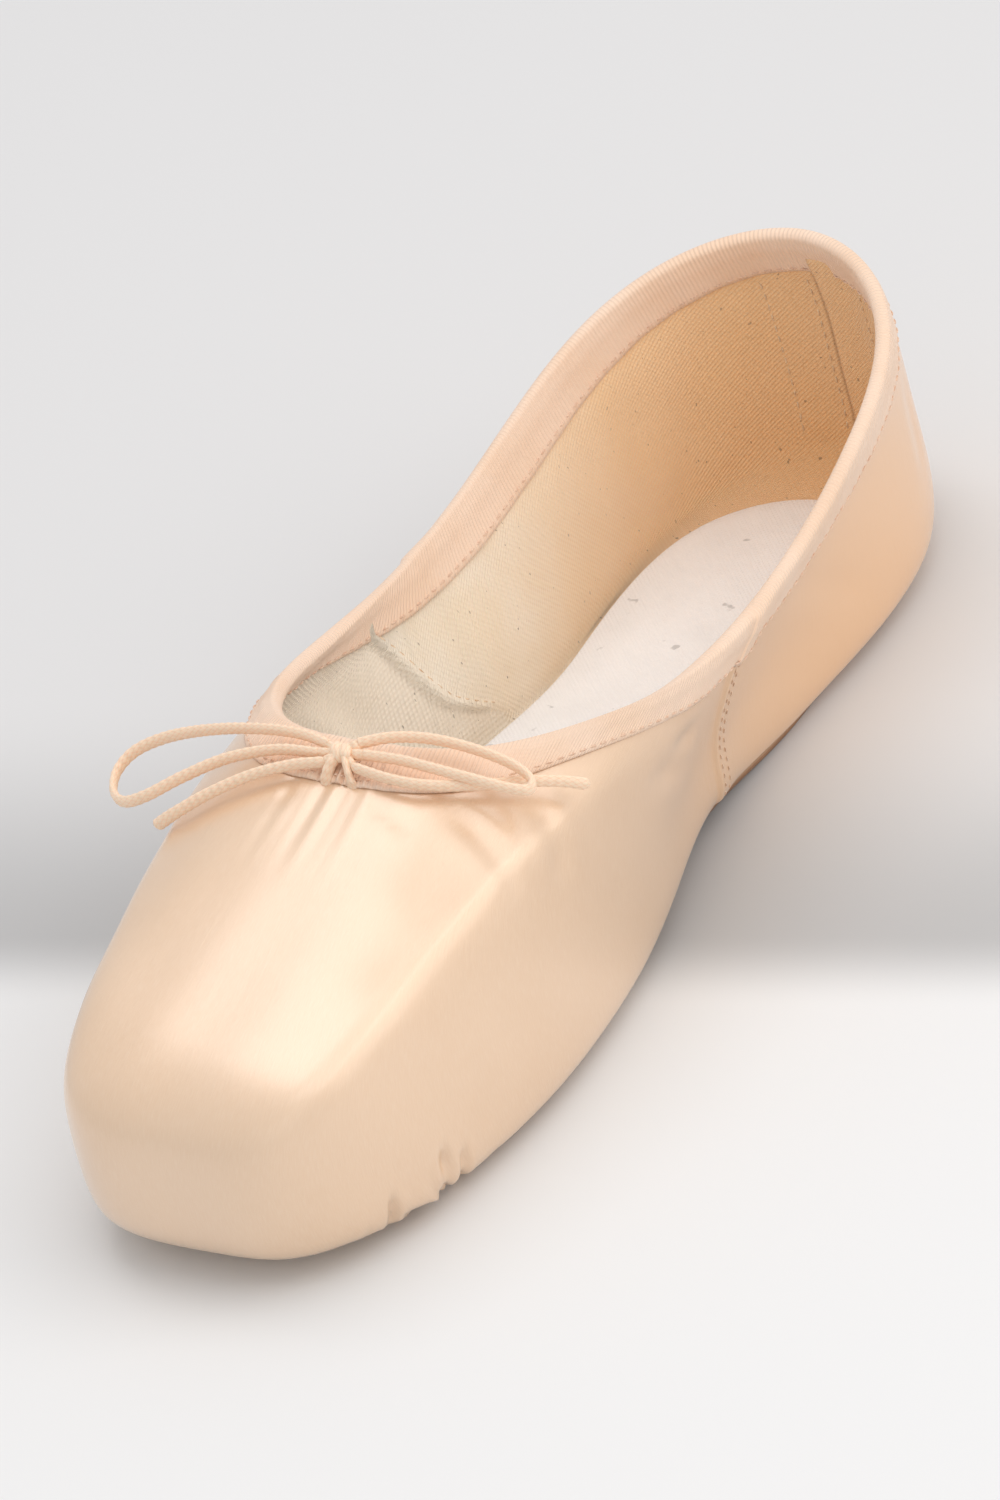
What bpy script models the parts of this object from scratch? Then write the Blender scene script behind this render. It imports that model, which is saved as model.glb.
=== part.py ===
"""Pointe shoe in satin, standing empty on its leather sole.

Metres, +Z up. The toe points to -Y and the heel to +Y, X = 0 is the plane that halves the shoe, and
the floor is Z = 0. Every shell follows one surface, the skin: sections of the last, each a row of
named shares in the tables below, are the control points of a smooth surface that starts under the
insole, rolls round the edge of the sole, climbs the wall and ends at the collar.
"""
import math
from collections import namedtuple

import bmesh
import bpy
import numpy as np
from mathutils import Matrix

# Driving sizes of the last
LENGTH = 0.232
BALL_WIDTH = 0.0765
WAIST_WIDTH = 0.0665
HEEL_WIDTH = 0.057
COLLAR_WIDTH = 0.0695
VAMP_LENGTH = 0.0765
PLATFORM_HEIGHT = 0.032
THROAT_HEIGHT = 0.054
WAIST_HEIGHT = 0.0385
HEEL_HEIGHT = 0.0555

# Sole and insole
SOLE_THICKNESS = 0.0022
SOLE_EDGE_BEVEL = 0.0006
ARCH_RISE = 0.003
TOE_SPRING = 0.0012
INSOLE_THICKNESS = 0.0014
INSOLE_CLEARANCE = 0.0013

# Upper: cloth wall, stiff box, satin rolled round the edge of the sole
UPPER_WALL = 0.0014
BOX_WALL = 0.0024
LIP_WIDTH = 0.007
ROLL_DROP = 0.0011
FEATHER = 0.001
SEAM_STEP = 0.0005
SEAM_HALF_WIDTH = 0.001
SEAM_FADE = 0.012
SECTION_LENGTH = 0.024
PLEATS = 13
PLEAT_DEPTH = 0.0008

# Tape that cases the drawstring, and the strip that covers the seam of the heel
CASING_WIDTH = 0.0085
CASING_THICKNESS = 0.0007
STRIP_WIDTH = 0.013
STRIP_THICKNESS = 0.0008

# Drawstring, tied in a bow at the throat
CORD_DIAMETER = 0.0015
KNOT_LENGTH = 0.0056
KNOT_WIDTH = 0.0036

# Where the knot lies, and the routes of the bow from it
KNOT = (0.0000, -0.0445, 0.0561)
BOW = {
    "drawstring_loop_left": [
        (-0.0028, -0.0438, 0.0567), (-0.0085, -0.0424, 0.0567), (-0.0150, -0.0416, 0.0561),
        (-0.0240, -0.0412, 0.0546), (-0.0330, -0.0408, 0.0521), (-0.0400, -0.0412, 0.0497),
        (-0.0450, -0.0430, 0.0475), (-0.0470, -0.0462, 0.0455), (-0.0455, -0.0502, 0.0445),
        (-0.0415, -0.0530, 0.0451), (-0.0365, -0.0528, 0.0471), (-0.0300, -0.0500, 0.0501),
        (-0.0220, -0.0470, 0.0531), (-0.0130, -0.0450, 0.0549), (-0.0044, -0.0448, 0.0555),
    ],
    "drawstring_loop_right": [
        (0.0026, -0.0432, 0.0575), (0.0080, -0.0408, 0.0579), (0.0145, -0.0392, 0.0575),
        (0.0220, -0.0384, 0.0561), (0.0285, -0.0384, 0.0543), (0.0325, -0.0394, 0.0527),
        (0.0330, -0.0412, 0.0519), (0.0300, -0.0426, 0.0527), (0.0240, -0.0436, 0.0543),
        (0.0170, -0.0440, 0.0555), (0.0110, -0.0440, 0.0561), (0.0040, -0.0444, 0.0563),
    ],
    "drawstring_end_left": [
        (-0.0024, -0.0462, 0.0551), (-0.0090, -0.0476, 0.0543), (-0.0160, -0.0500, 0.0527),
        (-0.0230, -0.0532, 0.0501), (-0.0290, -0.0556, 0.0469), (-0.0335, -0.0562, 0.0437),
    ],
    "drawstring_end_right": [
        (0.0024, -0.0462, 0.0549), (0.0096, -0.0472, 0.0546), (0.0148, -0.0467, 0.0539),
        (0.0196, -0.0449, 0.0530), (0.0236, -0.0425, 0.0521), (0.0275, -0.0396, 0.0511),
        (0.0312, -0.0366, 0.0499), (0.0346, -0.0336, 0.0482), (0.0373, -0.0310, 0.0461),
    ],
}

# Clearance between pieces that touch
GAP = 0.0003

# A row for each section, toe to heel. "out" is a share of half the width of its table, "along" of the
# length from the middle of the last, "low" and "high" of the platform's height, "up" of the height of
# its table. The collar's "out" is a share of half the collar's width and its "along" runs from 0 at
# the throat to 1 at the heel. "roll" is a share of the drop of the satin below the edge of the sole.
# COLLAR_END and the shares under it place the points that the tables don't: where the collar ends at
# the heel, how far from the sole's edge to the side the satin rolls, and from the ridge to the collar.
Section = namedtuple("Section", "sole_out sole_along side_out side_along low high ridge_out ridge_along "
                                "ridge_up collar_out collar_along collar_up roll")
FOREPART = [
    Section(0.00, -0.380, 0.00, -0.502, 0.16, 0.84, 0.00, -0.484, 0.65, 0.00, 0.000, 1.00, 1.0),
    Section(0.24, -0.380, 0.25, -0.502, 0.16, 0.84, 0.31, -0.483, 0.65, 0.22, 0.000, 1.00, 1.0),
    Section(0.45, -0.371, 0.50, -0.494, 0.16, 0.84, 0.60, -0.471, 0.65, 0.41, 0.010, 0.99, 1.0),
    Section(0.62, -0.345, 0.75, -0.446, 0.16, 0.81, 0.72, -0.412, 0.69, 0.59, 0.033, 0.97, 1.0),
    Section(0.72, -0.298, 0.91, -0.358, 0.16, 0.75, 0.79, -0.320, 0.76, 0.75, 0.075, 0.94, 1.0),
    Section(0.78, -0.233, 1.00, -0.263, 0.16, 0.75, 0.87, -0.226, 0.80, 0.87, 0.138, 0.89, 1.0),
    Section(0.76, -0.147, 0.98, -0.160, 0.16, 0.72, 0.95, -0.130, 0.75, 0.96, 0.222, 0.81, 0.8),
]
WAIST = [
    Section(0.74, -0.040, 1.00, -0.048, 0.18, 0.62, 1.04, -0.024, 0.86, 1.00, 0.318, 1.05, 0.3),
    Section(0.69, 0.068, 0.76, 0.068, 0.25, 0.60, 0.94, 0.076, 0.78, 1.00, 0.415, 1.00, 0.0),
    Section(0.69, 0.164, 0.76, 0.176, 0.25, 0.60, 0.90, 0.184, 0.80, 0.99, 0.552, 1.03, 0.0),
]
HEEL = [
    Section(0.80, 0.252, 1.00, 0.284, 0.19, 0.60, 1.05, 0.284, 0.61, 0.97, 0.689, 0.80, 0.3),
    Section(0.72, 0.322, 0.98, 0.392, 0.17, 0.63, 1.00, 0.384, 0.67, 0.88, 0.826, 0.89, 0.6),
    Section(0.43, 0.358, 0.65, 0.470, 0.19, 0.66, 0.67, 0.466, 0.72, 0.56, 0.939, 0.965, 0.6),
    Section(0.00, 0.370, 0.00, 0.511, 0.19, 0.66, 0.00, 0.509, 0.74, 0.00, 1.000, 1.00, 0.6),
]
COLLAR_END = 0.49
ROLL_OUT = (0.55, 0.95)
ROLL_UP = 0.75
SIDE_UP = 0.4
SHOULDER_IN = 0.1
TOP_IN = (0.34, 0.67)
SOLE_EDGE = 0.4
HEEL_CENTRE = len(FOREPART) + len(WAIST) + len(HEEL) - 1
SECTIONS = 2 * HEEL_CENTRE
SIDE_SEAM = 8.0
PLEATED = 3.25
COLLAR = 10.0
STRIP_FIRST_ROW = 4

# Steps of the skin, shared by every piece that lies on it
SIDE_COLUMNS = 17
HEEL_COLUMNS = 8
HEEL_ZONE = 11.0
BODY_ROWS = [0.0, 0.085, 0.15, 0.215, 0.275, 0.33, 0.39, 0.45, 0.52, 0.595, 0.67, 0.75, 0.83, 0.92]
RIM_ROWS = [1.0, 0.5, 0.0]


def smooth(low, high, value):
    """0 below low, 1 above high and an even curve between."""
    share = np.clip((value - low) / (high - low), 0.0, 1.0)
    return share * share * (3.0 - 2.0 * share)


def sole_rise(along):
    """Height of the sole's lower face: flat at forefoot and heel, raised at the arch and the toe."""
    share = along / LENGTH
    arch = smooth(-0.12, 0.05, share) * (1.0 - smooth(0.05, 0.20, share))
    toe = 1.0 - smooth(-0.385, -0.30, share)
    return ARCH_RISE * arch + TOE_SPRING * toe


def control_points():
    """Control points of the skin: a ring of sections, eleven points each, from the lip to the collar."""
    throat = LENGTH * -0.5 + VAMP_LENGTH
    opening = LENGTH * COLLAR_END - throat
    lip = SOLE_THICKNESS + GAP + ROLL_DROP / 6.0
    rows = []
    for table, width, height in ((FOREPART, BALL_WIDTH, THROAT_HEIGHT), (WAIST, WAIST_WIDTH, WAIST_HEIGHT),
                                 (HEEL, HEEL_WIDTH, HEEL_HEIGHT)):
        for s in table:
            sole = np.array([s.sole_out * width / 2, s.sole_along * LENGTH])
            side = np.array([s.side_out * width / 2, s.side_along * LENGTH])
            ridge = np.array([s.ridge_out * width / 2, s.ridge_along * LENGTH])
            collar = np.array([s.collar_out * COLLAR_WIDTH / 2, throat + s.collar_along * opening])
            low = s.low * PLATFORM_HEIGHT
            high = s.high * PLATFORM_HEIGHT
            ridge_up = s.ridge_up * height
            collar_up = s.collar_up * height
            outward = (side - sole) / np.linalg.norm(side - sole)
            rows.append([
                (*(sole - LIP_WIDTH * outward), lip),
                (*(sole - FEATHER * outward), lip),
                (*(sole + 1.5 * FEATHER * outward), lip),
                (*(sole + ROLL_OUT[0] * (side - sole)), lip - s.roll * ROLL_DROP),
                (*(sole + ROLL_OUT[1] * (side - sole)), ROLL_UP * low),
                (*side, low + SIDE_UP * (high - low)),
                (*(side + SHOULDER_IN * (ridge - side)), high),
                (*ridge, ridge_up),
                (*(ridge + TOP_IN[0] * (collar - ridge)), ridge_up + TOP_IN[0] * (collar_up - ridge_up)),
                (*(ridge + TOP_IN[1] * (collar - ridge)), ridge_up + TOP_IN[1] * (collar_up - ridge_up)),
                (*collar, collar_up),
            ])
    half = np.array(rows)
    mirrored = half[-2:0:-1] * np.array([-1.0, 1.0, 1.0])
    return np.concatenate([half, mirrored])


CONTROLS = control_points()


def weights(t):
    """Weights of four control points in a row, a cubic B-spline."""
    return np.stack([(1 - t) ** 3, 3 * t**3 - 6 * t**2 + 4, 3 * (t + t**2 - t**3) + 1, t**3], -1) / 6.0


def bare_skin(u, v):
    """Point of the smooth surface. u counts sections from the toe, v rows from the lip to COLLAR."""
    u, v = np.broadcast_arrays(np.asarray(u, float) % SECTIONS, np.asarray(v, float))
    first = 2 * CONTROLS[:, :1] - CONTROLS[:, 1:2]
    last = 2 * CONTROLS[:, -1:] - CONTROLS[:, -2:-1]
    net = np.concatenate([first, CONTROLS, last], axis=1)
    i = np.floor(u).astype(int)
    j = np.minimum(np.floor(v).astype(int), net.shape[1] - 4)
    wu = weights(u - i)
    wv = weights(v - j)
    point = np.zeros(u.shape + (3,))
    for a in range(4):
        for b in range(4):
            point += (wu[..., a] * wv[..., b])[..., None] * net[(i + a - 1) % SECTIONS, j + b]
    point[..., 2] += sole_rise(point[..., 1]) * (1.0 - smooth(3.0, 7.0, v))
    return point


def bare_normal(u, v):
    """Unit vector that points out of the shoe."""
    step = 0.02
    along_u = bare_skin(u + step, v) - bare_skin(u - step, v)
    along_v = bare_skin(u, np.minimum(v + step, COLLAR)) - bare_skin(u, np.maximum(v - step, 0.0))
    normal = np.cross(along_u, along_v)
    return normal / np.linalg.norm(normal, axis=-1, keepdims=True)


def from_toe(u):
    """Sections from the toe's middle, the same on both sides."""
    u = np.asarray(u, float) % SECTIONS
    return np.minimum(u, SECTIONS - u)


def relief(u, v):
    """What stands up from the smooth surface: gathered pleats before the sole, and the lapped side seams."""
    u, v = np.broadcast_arrays(np.asarray(u, float), np.asarray(v, float))
    side = from_toe(u)
    around = np.where(u % SECTIONS > HEEL_CENTRE, -side, side)
    phase = (around + PLEATED) / (2 * PLEATED) * PLEATS
    fold = 1.0 - 2.0 * np.abs(phase - np.floor(phase) - 0.5)
    gathered = smooth(1.6, 2.4, v) * (1.0 - smooth(3.2, 4.4, v))
    gathered = gathered * (1.0 - smooth(PLEATED - 0.5, PLEATED, side))
    behind = (side - SIDE_SEAM) * SECTION_LENGTH
    step = smooth(-SEAM_HALF_WIDTH, SEAM_HALF_WIDTH, behind)
    lap = step * (1.0 - smooth(0.0, SEAM_FADE, behind)) * smooth(2.4, 3.4, v)
    return PLEAT_DEPTH * fold * gathered + SEAM_STEP * lap


def skin(u, v, out=0.0):
    """Point on the upper's outer face, or at a distance out from it along the normal."""
    lift = np.asarray(relief(u, v) + out)[..., None]
    return bare_skin(u, v) + bare_normal(u, v) * lift


def wall(u, v):
    """Thickness of the upper: cloth at the quarters, stiffened in the box, thin at the lip and throat."""
    box = (1.0 - smooth(4.2, 6.2, from_toe(u))) * smooth(3.0, 4.5, v) * (1.0 - smooth(8.3, 9.6, v))
    return UPPER_WALL + (BOX_WALL - UPPER_WALL) * box


def row_below_rim(u, distance):
    """Row v that lies at a distance down the skin from the collar's edge."""
    u = np.atleast_1d(np.asarray(u, float))
    v = np.linspace(COLLAR, 4.0, 121)
    points = bare_skin(u[:, None], v[None, :])
    run = np.linalg.norm(np.diff(points, axis=1), axis=-1)
    run = np.concatenate([np.zeros((len(u), 1)), np.cumsum(run, axis=1)], axis=1)
    return np.array([np.interp(distance, run[k], v) for k in range(len(u))])


def columns():
    """Steps round the shoe: two to a pleat before the sole, even along the sides and finer round the heel."""
    pleated = np.linspace(-PLEATED, PLEATED, 2 * PLEATS + 1)
    side = np.linspace(PLEATED, HEEL_ZONE, SIDE_COLUMNS + 1)[1:-1]
    heel = np.linspace(HEEL_ZONE, SECTIONS - HEEL_ZONE, 2 * HEEL_COLUMNS + 1)
    half_seam = SEAM_HALF_WIDTH / SECTION_LENGTH
    side = side[np.abs(side - SIDE_SEAM) > 0.15]
    side = np.sort(np.append(side, [SIDE_SEAM - half_seam, SIDE_SEAM + half_seam]))
    return np.concatenate([pleated, side, heel, SECTIONS - side[::-1]])


COLUMNS = columns()


def loft(name, sections, ring, material):
    """Closed solid through closed sections, joined in a ring or capped at both ends.

    Each four-sided facet is split along its shorter diagonal, so shells that lie on each other split alike.
    """
    count, points = sections.shape[:2]
    faces = []
    flat = sections.reshape(-1, 3)
    for i in range(count if ring else count - 1):
        near = i * points
        far = (i + 1) % count * points
        for j in range(points):
            k = (j + 1) % points
            a, b, c, d = near + j, near + k, far + k, far + j
            if np.linalg.norm(flat[a] - flat[c]) < np.linalg.norm(flat[b] - flat[d]):
                faces += [(a, b, c), (a, c, d)]
            else:
                faces += [(a, b, d), (b, c, d)]
    if not ring:
        faces.append(tuple(range(points)))
        faces.append(tuple(range((count - 1) * points, count * points)))
    mesh = bpy.data.meshes.new(name)
    mesh.from_pydata([tuple(p) for p in flat], [], faces)
    shell = bmesh.new()
    shell.from_mesh(mesh)
    bmesh.ops.recalc_face_normals(shell, faces=shell.faces)
    shell.to_mesh(mesh)
    shell.free()
    mesh.materials.append(material)
    mesh.shade_smooth()
    mesh.set_sharp_from_angle(angle=math.radians(50))
    return place(bpy.data.objects.new(name, mesh))


def place(obj):
    """Puts an object in the shoe's collection, under the empty that holds the shoe."""
    shoe.objects.link(obj)
    obj.parent = last
    return obj


def paint(name, colour, roughness, sheen=0.0):
    """Material of one piece."""
    material = bpy.data.materials.new(name)
    material.use_nodes = True
    principled = material.node_tree.nodes["Principled BSDF"]
    principled.inputs["Base Color"].default_value = (*colour, 1.0)
    principled.inputs["Roughness"].default_value = roughness
    principled.inputs["Metallic"].default_value = 0.0
    principled.inputs["Sheen Weight"].default_value = sheen
    return material


def make_upper():
    """Satin upper: a ring of wall sections, open at the collar and under the foot."""
    sections = []
    for u, foot in zip(COLUMNS, row_below_rim(COLUMNS, CASING_WIDTH)):
        body = foot * np.array(BODY_ROWS)
        rim = row_below_rim(u, CASING_WIDTH * np.array(RIM_ROWS))[0]
        v = np.concatenate([body, rim])
        outer = skin(u, v)
        inner = skin(u, v, -wall(u, v) - relief(u, v))
        sections.append(np.concatenate([outer, inner[::-1]]))
    return loft("upper", np.array(sections), True, paint("satin", (0.80, 0.56, 0.42), 0.38, 0.3))


def make_casing():
    """Tape folded over the collar's edge, a channel that holds the drawstring."""
    sections = []
    near = GAP
    far = GAP + CASING_THICKNESS
    for u in COLUMNS:
        v = row_below_rim(u, CASING_WIDTH * np.array(RIM_ROWS))[0]
        thickness = wall(u, v)
        under = -thickness - relief(u, v)
        edge = bare_normal(u, COLLAR)
        up = bare_skin(u, COLLAR) - bare_skin(u, COLLAR - 0.05)
        up /= np.linalg.norm(up)
        top = v[-1]
        outside = skin(u, v, far)
        outer_shoulder = skin(u, top, far - 0.3 * CASING_THICKNESS) + up * near
        outer_crest = skin(u, top, 0.0) + up * far
        inner_crest = skin(u, top, under[-1]) + up * far
        inner_shoulder = skin(u, top, under[-1] - far + 0.3 * CASING_THICKNESS) + up * near
        inside = skin(u, v, under - far)[::-1]
        inside_near = skin(u, v, under - near)
        outside_near = skin(u, v, near)[::-1]
        inner_roof = skin(u, top, under[-1] - near) + up * near
        outer_roof = skin(u, top, near) + up * near
        sections.append(np.concatenate([outside, [outer_shoulder, outer_crest, inner_crest, inner_shoulder],
                                        inside, inside_near, [inner_roof, outer_roof], outside_near]))
    tape = paint("ribbed_tape", (0.78, 0.50, 0.39), 0.62, 0.4)
    return loft("collar_casing", np.array(sections), True, tape)


def make_heel_strip():
    """Satin strip sewn over the seam of the heel, from the sole to the casing."""
    casing_foot, top = row_below_rim(HEEL_CENTRE, [CASING_WIDTH, CASING_WIDTH + GAP])[0]
    rows = np.append(casing_foot * np.array(BODY_ROWS[STRIP_FIRST_ROW:]), top)
    column = (HEEL_CENTRE - HEEL_ZONE) / HEEL_COLUMNS
    step = 0.05
    sections = []
    for v in rows:
        across = bare_skin(HEEL_CENTRE + step, v) - bare_skin(HEEL_CENTRE - step, v)
        half = STRIP_WIDTH / 2 * (2 * step) / np.linalg.norm(across)
        u = HEEL_CENTRE + np.array([-half, -column, 0.0, column, half])
        sections.append(np.concatenate([skin(u, v, GAP + STRIP_THICKNESS), skin(u, v, GAP)[::-1]]))
    return loft("heel_strip", np.array(sections), False, paint("satin_strip", (0.80, 0.56, 0.42), 0.38, 0.3))


def smooth_route(points, spacing):
    """Points at an even spacing along a smooth curve through the route's own points."""
    points = np.array(points)
    ends = np.vstack([2 * points[0] - points[1], points, 2 * points[-1] - points[-2]])
    t = np.linspace(0.0, 1.0, 24, endpoint=False)[:, None]
    fine = []
    for before, a, b, after in zip(ends, ends[1:], ends[2:], ends[3:]):
        fine.append(a + 0.5 * t * (b - before + t * (2 * before - 5 * a + 4 * b - after
                                                    + t * (3 * (a - b) + after - before))))
    fine = np.vstack([*fine, points[-1:]])
    run = np.concatenate([[0.0], np.cumsum(np.linalg.norm(np.diff(fine, axis=0), axis=1))])
    even = np.linspace(0.0, run[-1], max(int(run[-1] / spacing), 4) + 1)
    return np.stack([np.interp(even, run, fine[:, k]) for k in range(3)], -1)


def make_cord(name, route, material):
    """Round cord along a route."""
    curve = bpy.data.curves.new(name, "CURVE")
    curve.dimensions = "3D"
    curve.bevel_depth = CORD_DIAMETER / 2
    curve.bevel_resolution = 2
    curve.use_fill_caps = True
    points = smooth_route(route, 2.5 * CORD_DIAMETER)
    spline = curve.splines.new("POLY")
    spline.points.add(len(points) - 1)
    for point, place_on in zip(spline.points, points):
        point.co = (*place_on, 1.0)
    curve.materials.append(material)
    return place(bpy.data.objects.new(name, curve))


def make_bow():
    """Drawstring tied at the throat: a knot, two loops and two ends, each its own cord."""
    cord = paint("drawstring", (0.85, 0.60, 0.46), 0.6)
    mesh = bpy.data.meshes.new("drawstring_knot")
    ball = bmesh.new()
    size = Matrix.Diagonal((KNOT_LENGTH, KNOT_WIDTH, KNOT_WIDTH, 1.0))
    bmesh.ops.create_uvsphere(ball, u_segments=16, v_segments=8, radius=0.5, matrix=size)
    ball.to_mesh(mesh)
    ball.free()
    mesh.materials.append(cord)
    mesh.shade_smooth()
    knot = place(bpy.data.objects.new("drawstring_knot", mesh))
    knot.location = KNOT
    for name, route in BOW.items():
        make_cord(name, route, cord)


def outline(edge, stations):
    """Half width of a plate at each station along, where edge is its outline seen from above."""
    right = edge[edge[:, 0] >= -1e-9]
    order = np.argsort(right[:, 1])
    return np.interp(stations, right[order, 1], right[order, 0])


def plate(name, edge, bottom, thickness, bevel, material):
    """Plate with a bevelled edge that follows the sole's rise, lofted from toe to heel."""
    toe = edge[:, 1].min()
    heel = edge[:, 1].max()
    middle = (toe + heel) / 2
    reach = (heel - toe) / 2
    angles = np.linspace(0.0, math.pi, 33)
    stations = middle - (reach - 0.0002) * np.cos(angles)
    sections = []
    for along in stations:
        half = max(float(outline(edge, along)), 0.002)
        low = bottom + float(sole_rise(along))
        high = low + thickness
        cut = min(bevel, half / 3)
        profile = [(half - cut, low), (half, low + bevel), (half, high - bevel), (half - cut, high)]
        profile += [(-x, z) for x, z in reversed(profile)]
        sections.append([(x, along, z) for x, z in profile])
    return loft(name, np.array(sections), False, material)


def make_outsole():
    """Leather outsole: its edge is the line where the satin turns in."""
    u = np.linspace(0.0, SECTIONS, 8 * SECTIONS, endpoint=False)
    sole_edge = (1.0 - SOLE_EDGE) * CONTROLS[:, 1] + SOLE_EDGE * CONTROLS[:, 2]
    i = np.floor(u).astype(int)
    w = weights(u - i)
    edge = sum(w[:, a, None] * sole_edge[(i + a - 1) % SECTIONS] for a in range(4))
    leather = paint("sole_leather", (0.36, 0.21, 0.13), 0.6)
    return plate("outsole", edge, 0.0, SOLE_THICKNESS, SOLE_EDGE_BEVEL, leather)


def make_insole():
    """Canvas-faced insole on the turned-in lip, cut to the inside of the wall."""
    lip = SOLE_THICKNESS + GAP + ROLL_DROP / 6.0 + UPPER_WALL
    bottom = lip + GAP
    u = np.linspace(0.0, SECTIONS, 4 * SECTIONS, endpoint=False)
    v = np.linspace(3.0, 6.0, 61)
    around, up = np.meshgrid(u, v, indexing="ij")
    normals = bare_normal(around, up)
    inside = bare_skin(around, up) - normals * wall(around, up)[..., None]
    edge = []
    for k in range(len(u)):
        height = inside[k, :, 2] - sole_rise(inside[k, :, 1])
        at = int(np.argmax(height > bottom - GAP / 2))
        inward = normals[k, at, :2] / np.linalg.norm(normals[k, at, :2])
        edge.append(inside[k, at, :2] - inward * INSOLE_CLEARANCE)
    return plate("insole", np.array(edge), bottom, INSOLE_THICKNESS, SOLE_EDGE_BEVEL / 2,
                 paint("insole_canvas", (0.62, 0.60, 0.56), 0.85))


for old in list(bpy.data.objects):
    bpy.data.objects.remove(old)

shoe = bpy.data.collections.new("pointe_shoe")
bpy.context.scene.collection.children.link(shoe)
last = bpy.data.objects.new("last", None)
shoe.objects.link(last)
toe_end = float(skin(COLUMNS, 5.0)[:, 1].min())
heel_end = float(skin(HEEL_CENTRE, np.linspace(4.0, 8.0, 81), GAP + STRIP_THICKNESS)[:, 1].max())
last.location.y = -(toe_end + heel_end) / 2

make_upper()
make_outsole()
make_insole()
make_casing()
make_heel_strip()
make_bow()
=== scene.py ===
"""Looks of the pointe shoe: satin, linings, ribbed casing, drawstring, leather sole and thread.

Metres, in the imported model's frame: the toe points to -Y, the heel to +Y and the floor is Z = 0.
The pieces are worked out again from the last that the solids follow, in finer steps.
"""
import math

import bpy
import numpy as np
from mathutils import Matrix, Vector


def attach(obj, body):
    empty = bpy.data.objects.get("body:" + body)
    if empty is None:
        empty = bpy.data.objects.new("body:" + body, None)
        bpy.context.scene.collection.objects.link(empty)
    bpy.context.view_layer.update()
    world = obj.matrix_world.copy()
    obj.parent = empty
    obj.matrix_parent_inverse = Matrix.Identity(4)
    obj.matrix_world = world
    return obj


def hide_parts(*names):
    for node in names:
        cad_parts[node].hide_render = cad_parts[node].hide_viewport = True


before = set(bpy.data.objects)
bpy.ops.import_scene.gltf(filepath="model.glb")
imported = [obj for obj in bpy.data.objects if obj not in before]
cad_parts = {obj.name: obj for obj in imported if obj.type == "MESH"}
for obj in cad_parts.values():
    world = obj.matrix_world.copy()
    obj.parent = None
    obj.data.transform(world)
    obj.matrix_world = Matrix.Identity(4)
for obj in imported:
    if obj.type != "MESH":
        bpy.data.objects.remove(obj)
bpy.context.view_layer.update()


# Camera, floor and light
# The photograph looks down on the toe from the front and the +X side, and the shoe leans in its frame.
# A plain pale floor and large soft lamps stand for the studio.
AZIMUTH = math.radians(39.5)
ELEVATION = math.radians(34.0)
ROLL = math.radians(15.5)
DISTANCE = 1.70
LENS = 243.0
MIDDLE = Vector((0.001, 0.004, 0.0235))
AIM_LEFT = 0.0066
AIM_DOWN = 0.0018
LAMP_TARGET = Vector((0.0, 0.0, 0.02))
WORLD_COLOUR = (0.975, 0.985, 1.0, 1.0)
WORLD_STRENGTH = 0.74

away = Vector((math.sin(AZIMUTH) * math.cos(ELEVATION), -math.cos(AZIMUTH) * math.cos(ELEVATION),
               math.sin(ELEVATION)))
level = Vector((math.cos(AZIMUTH), math.sin(AZIMUTH), 0.0))
upright = away.cross(level)
camera_right = level * math.cos(ROLL) - upright * math.sin(ROLL)
camera_up = level * math.sin(ROLL) + upright * math.cos(ROLL)
aim = MIDDLE - camera_right * AIM_LEFT - camera_up * AIM_DOWN
camera = bpy.data.objects.new("camera", bpy.data.cameras.new("camera"))
bpy.context.scene.collection.objects.link(camera)
camera.data.lens = LENS
camera.matrix_world = Matrix.Translation(aim + away * DISTANCE) @ Matrix(
    [camera_right, camera_up, away]).transposed().to_4x4()
bpy.context.scene.camera = camera


def lamp(name, place, width, length, power, colour):
    """Soft lamp, width by length, that faces the shoe."""
    data = bpy.data.lights.new(name, "AREA")
    data.shape = "RECTANGLE"
    data.size = width
    data.size_y = length
    data.energy = power
    data.color = colour
    made = bpy.data.objects.new(name, data)
    made.location = place
    made.rotation_euler = (Vector(place) - LAMP_TARGET).to_track_quat("Z", "Y").to_euler()
    bpy.context.scene.collection.objects.link(made)


lamp("key_lamp", (-0.30, 0.12, 1.08), 0.36, 0.8, 1.9, (1.0, 0.96, 0.95))
lamp("top_lamp", (0.50, 0.10, 1.05), 1.0, 1.0, 2.9, (1.0, 0.985, 0.97))
lamp("fill_lamp", (0.85, -1.15, 0.75), 1.2, 1.2, 0.8, (1.0, 0.99, 0.98))
lamp("side_lamp", (1.00, 0.30, 0.60), 0.8, 0.8, 2.6, (1.0, 0.91, 0.82))
world = bpy.data.worlds.new("studio")
world.use_nodes = True
world.node_tree.nodes["Background"].inputs["Color"].default_value = WORLD_COLOUR
world.node_tree.nodes["Background"].inputs["Strength"].default_value = WORLD_STRENGTH
bpy.context.scene.world = world
bpy.context.scene.view_settings.view_transform = "Standard"


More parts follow.
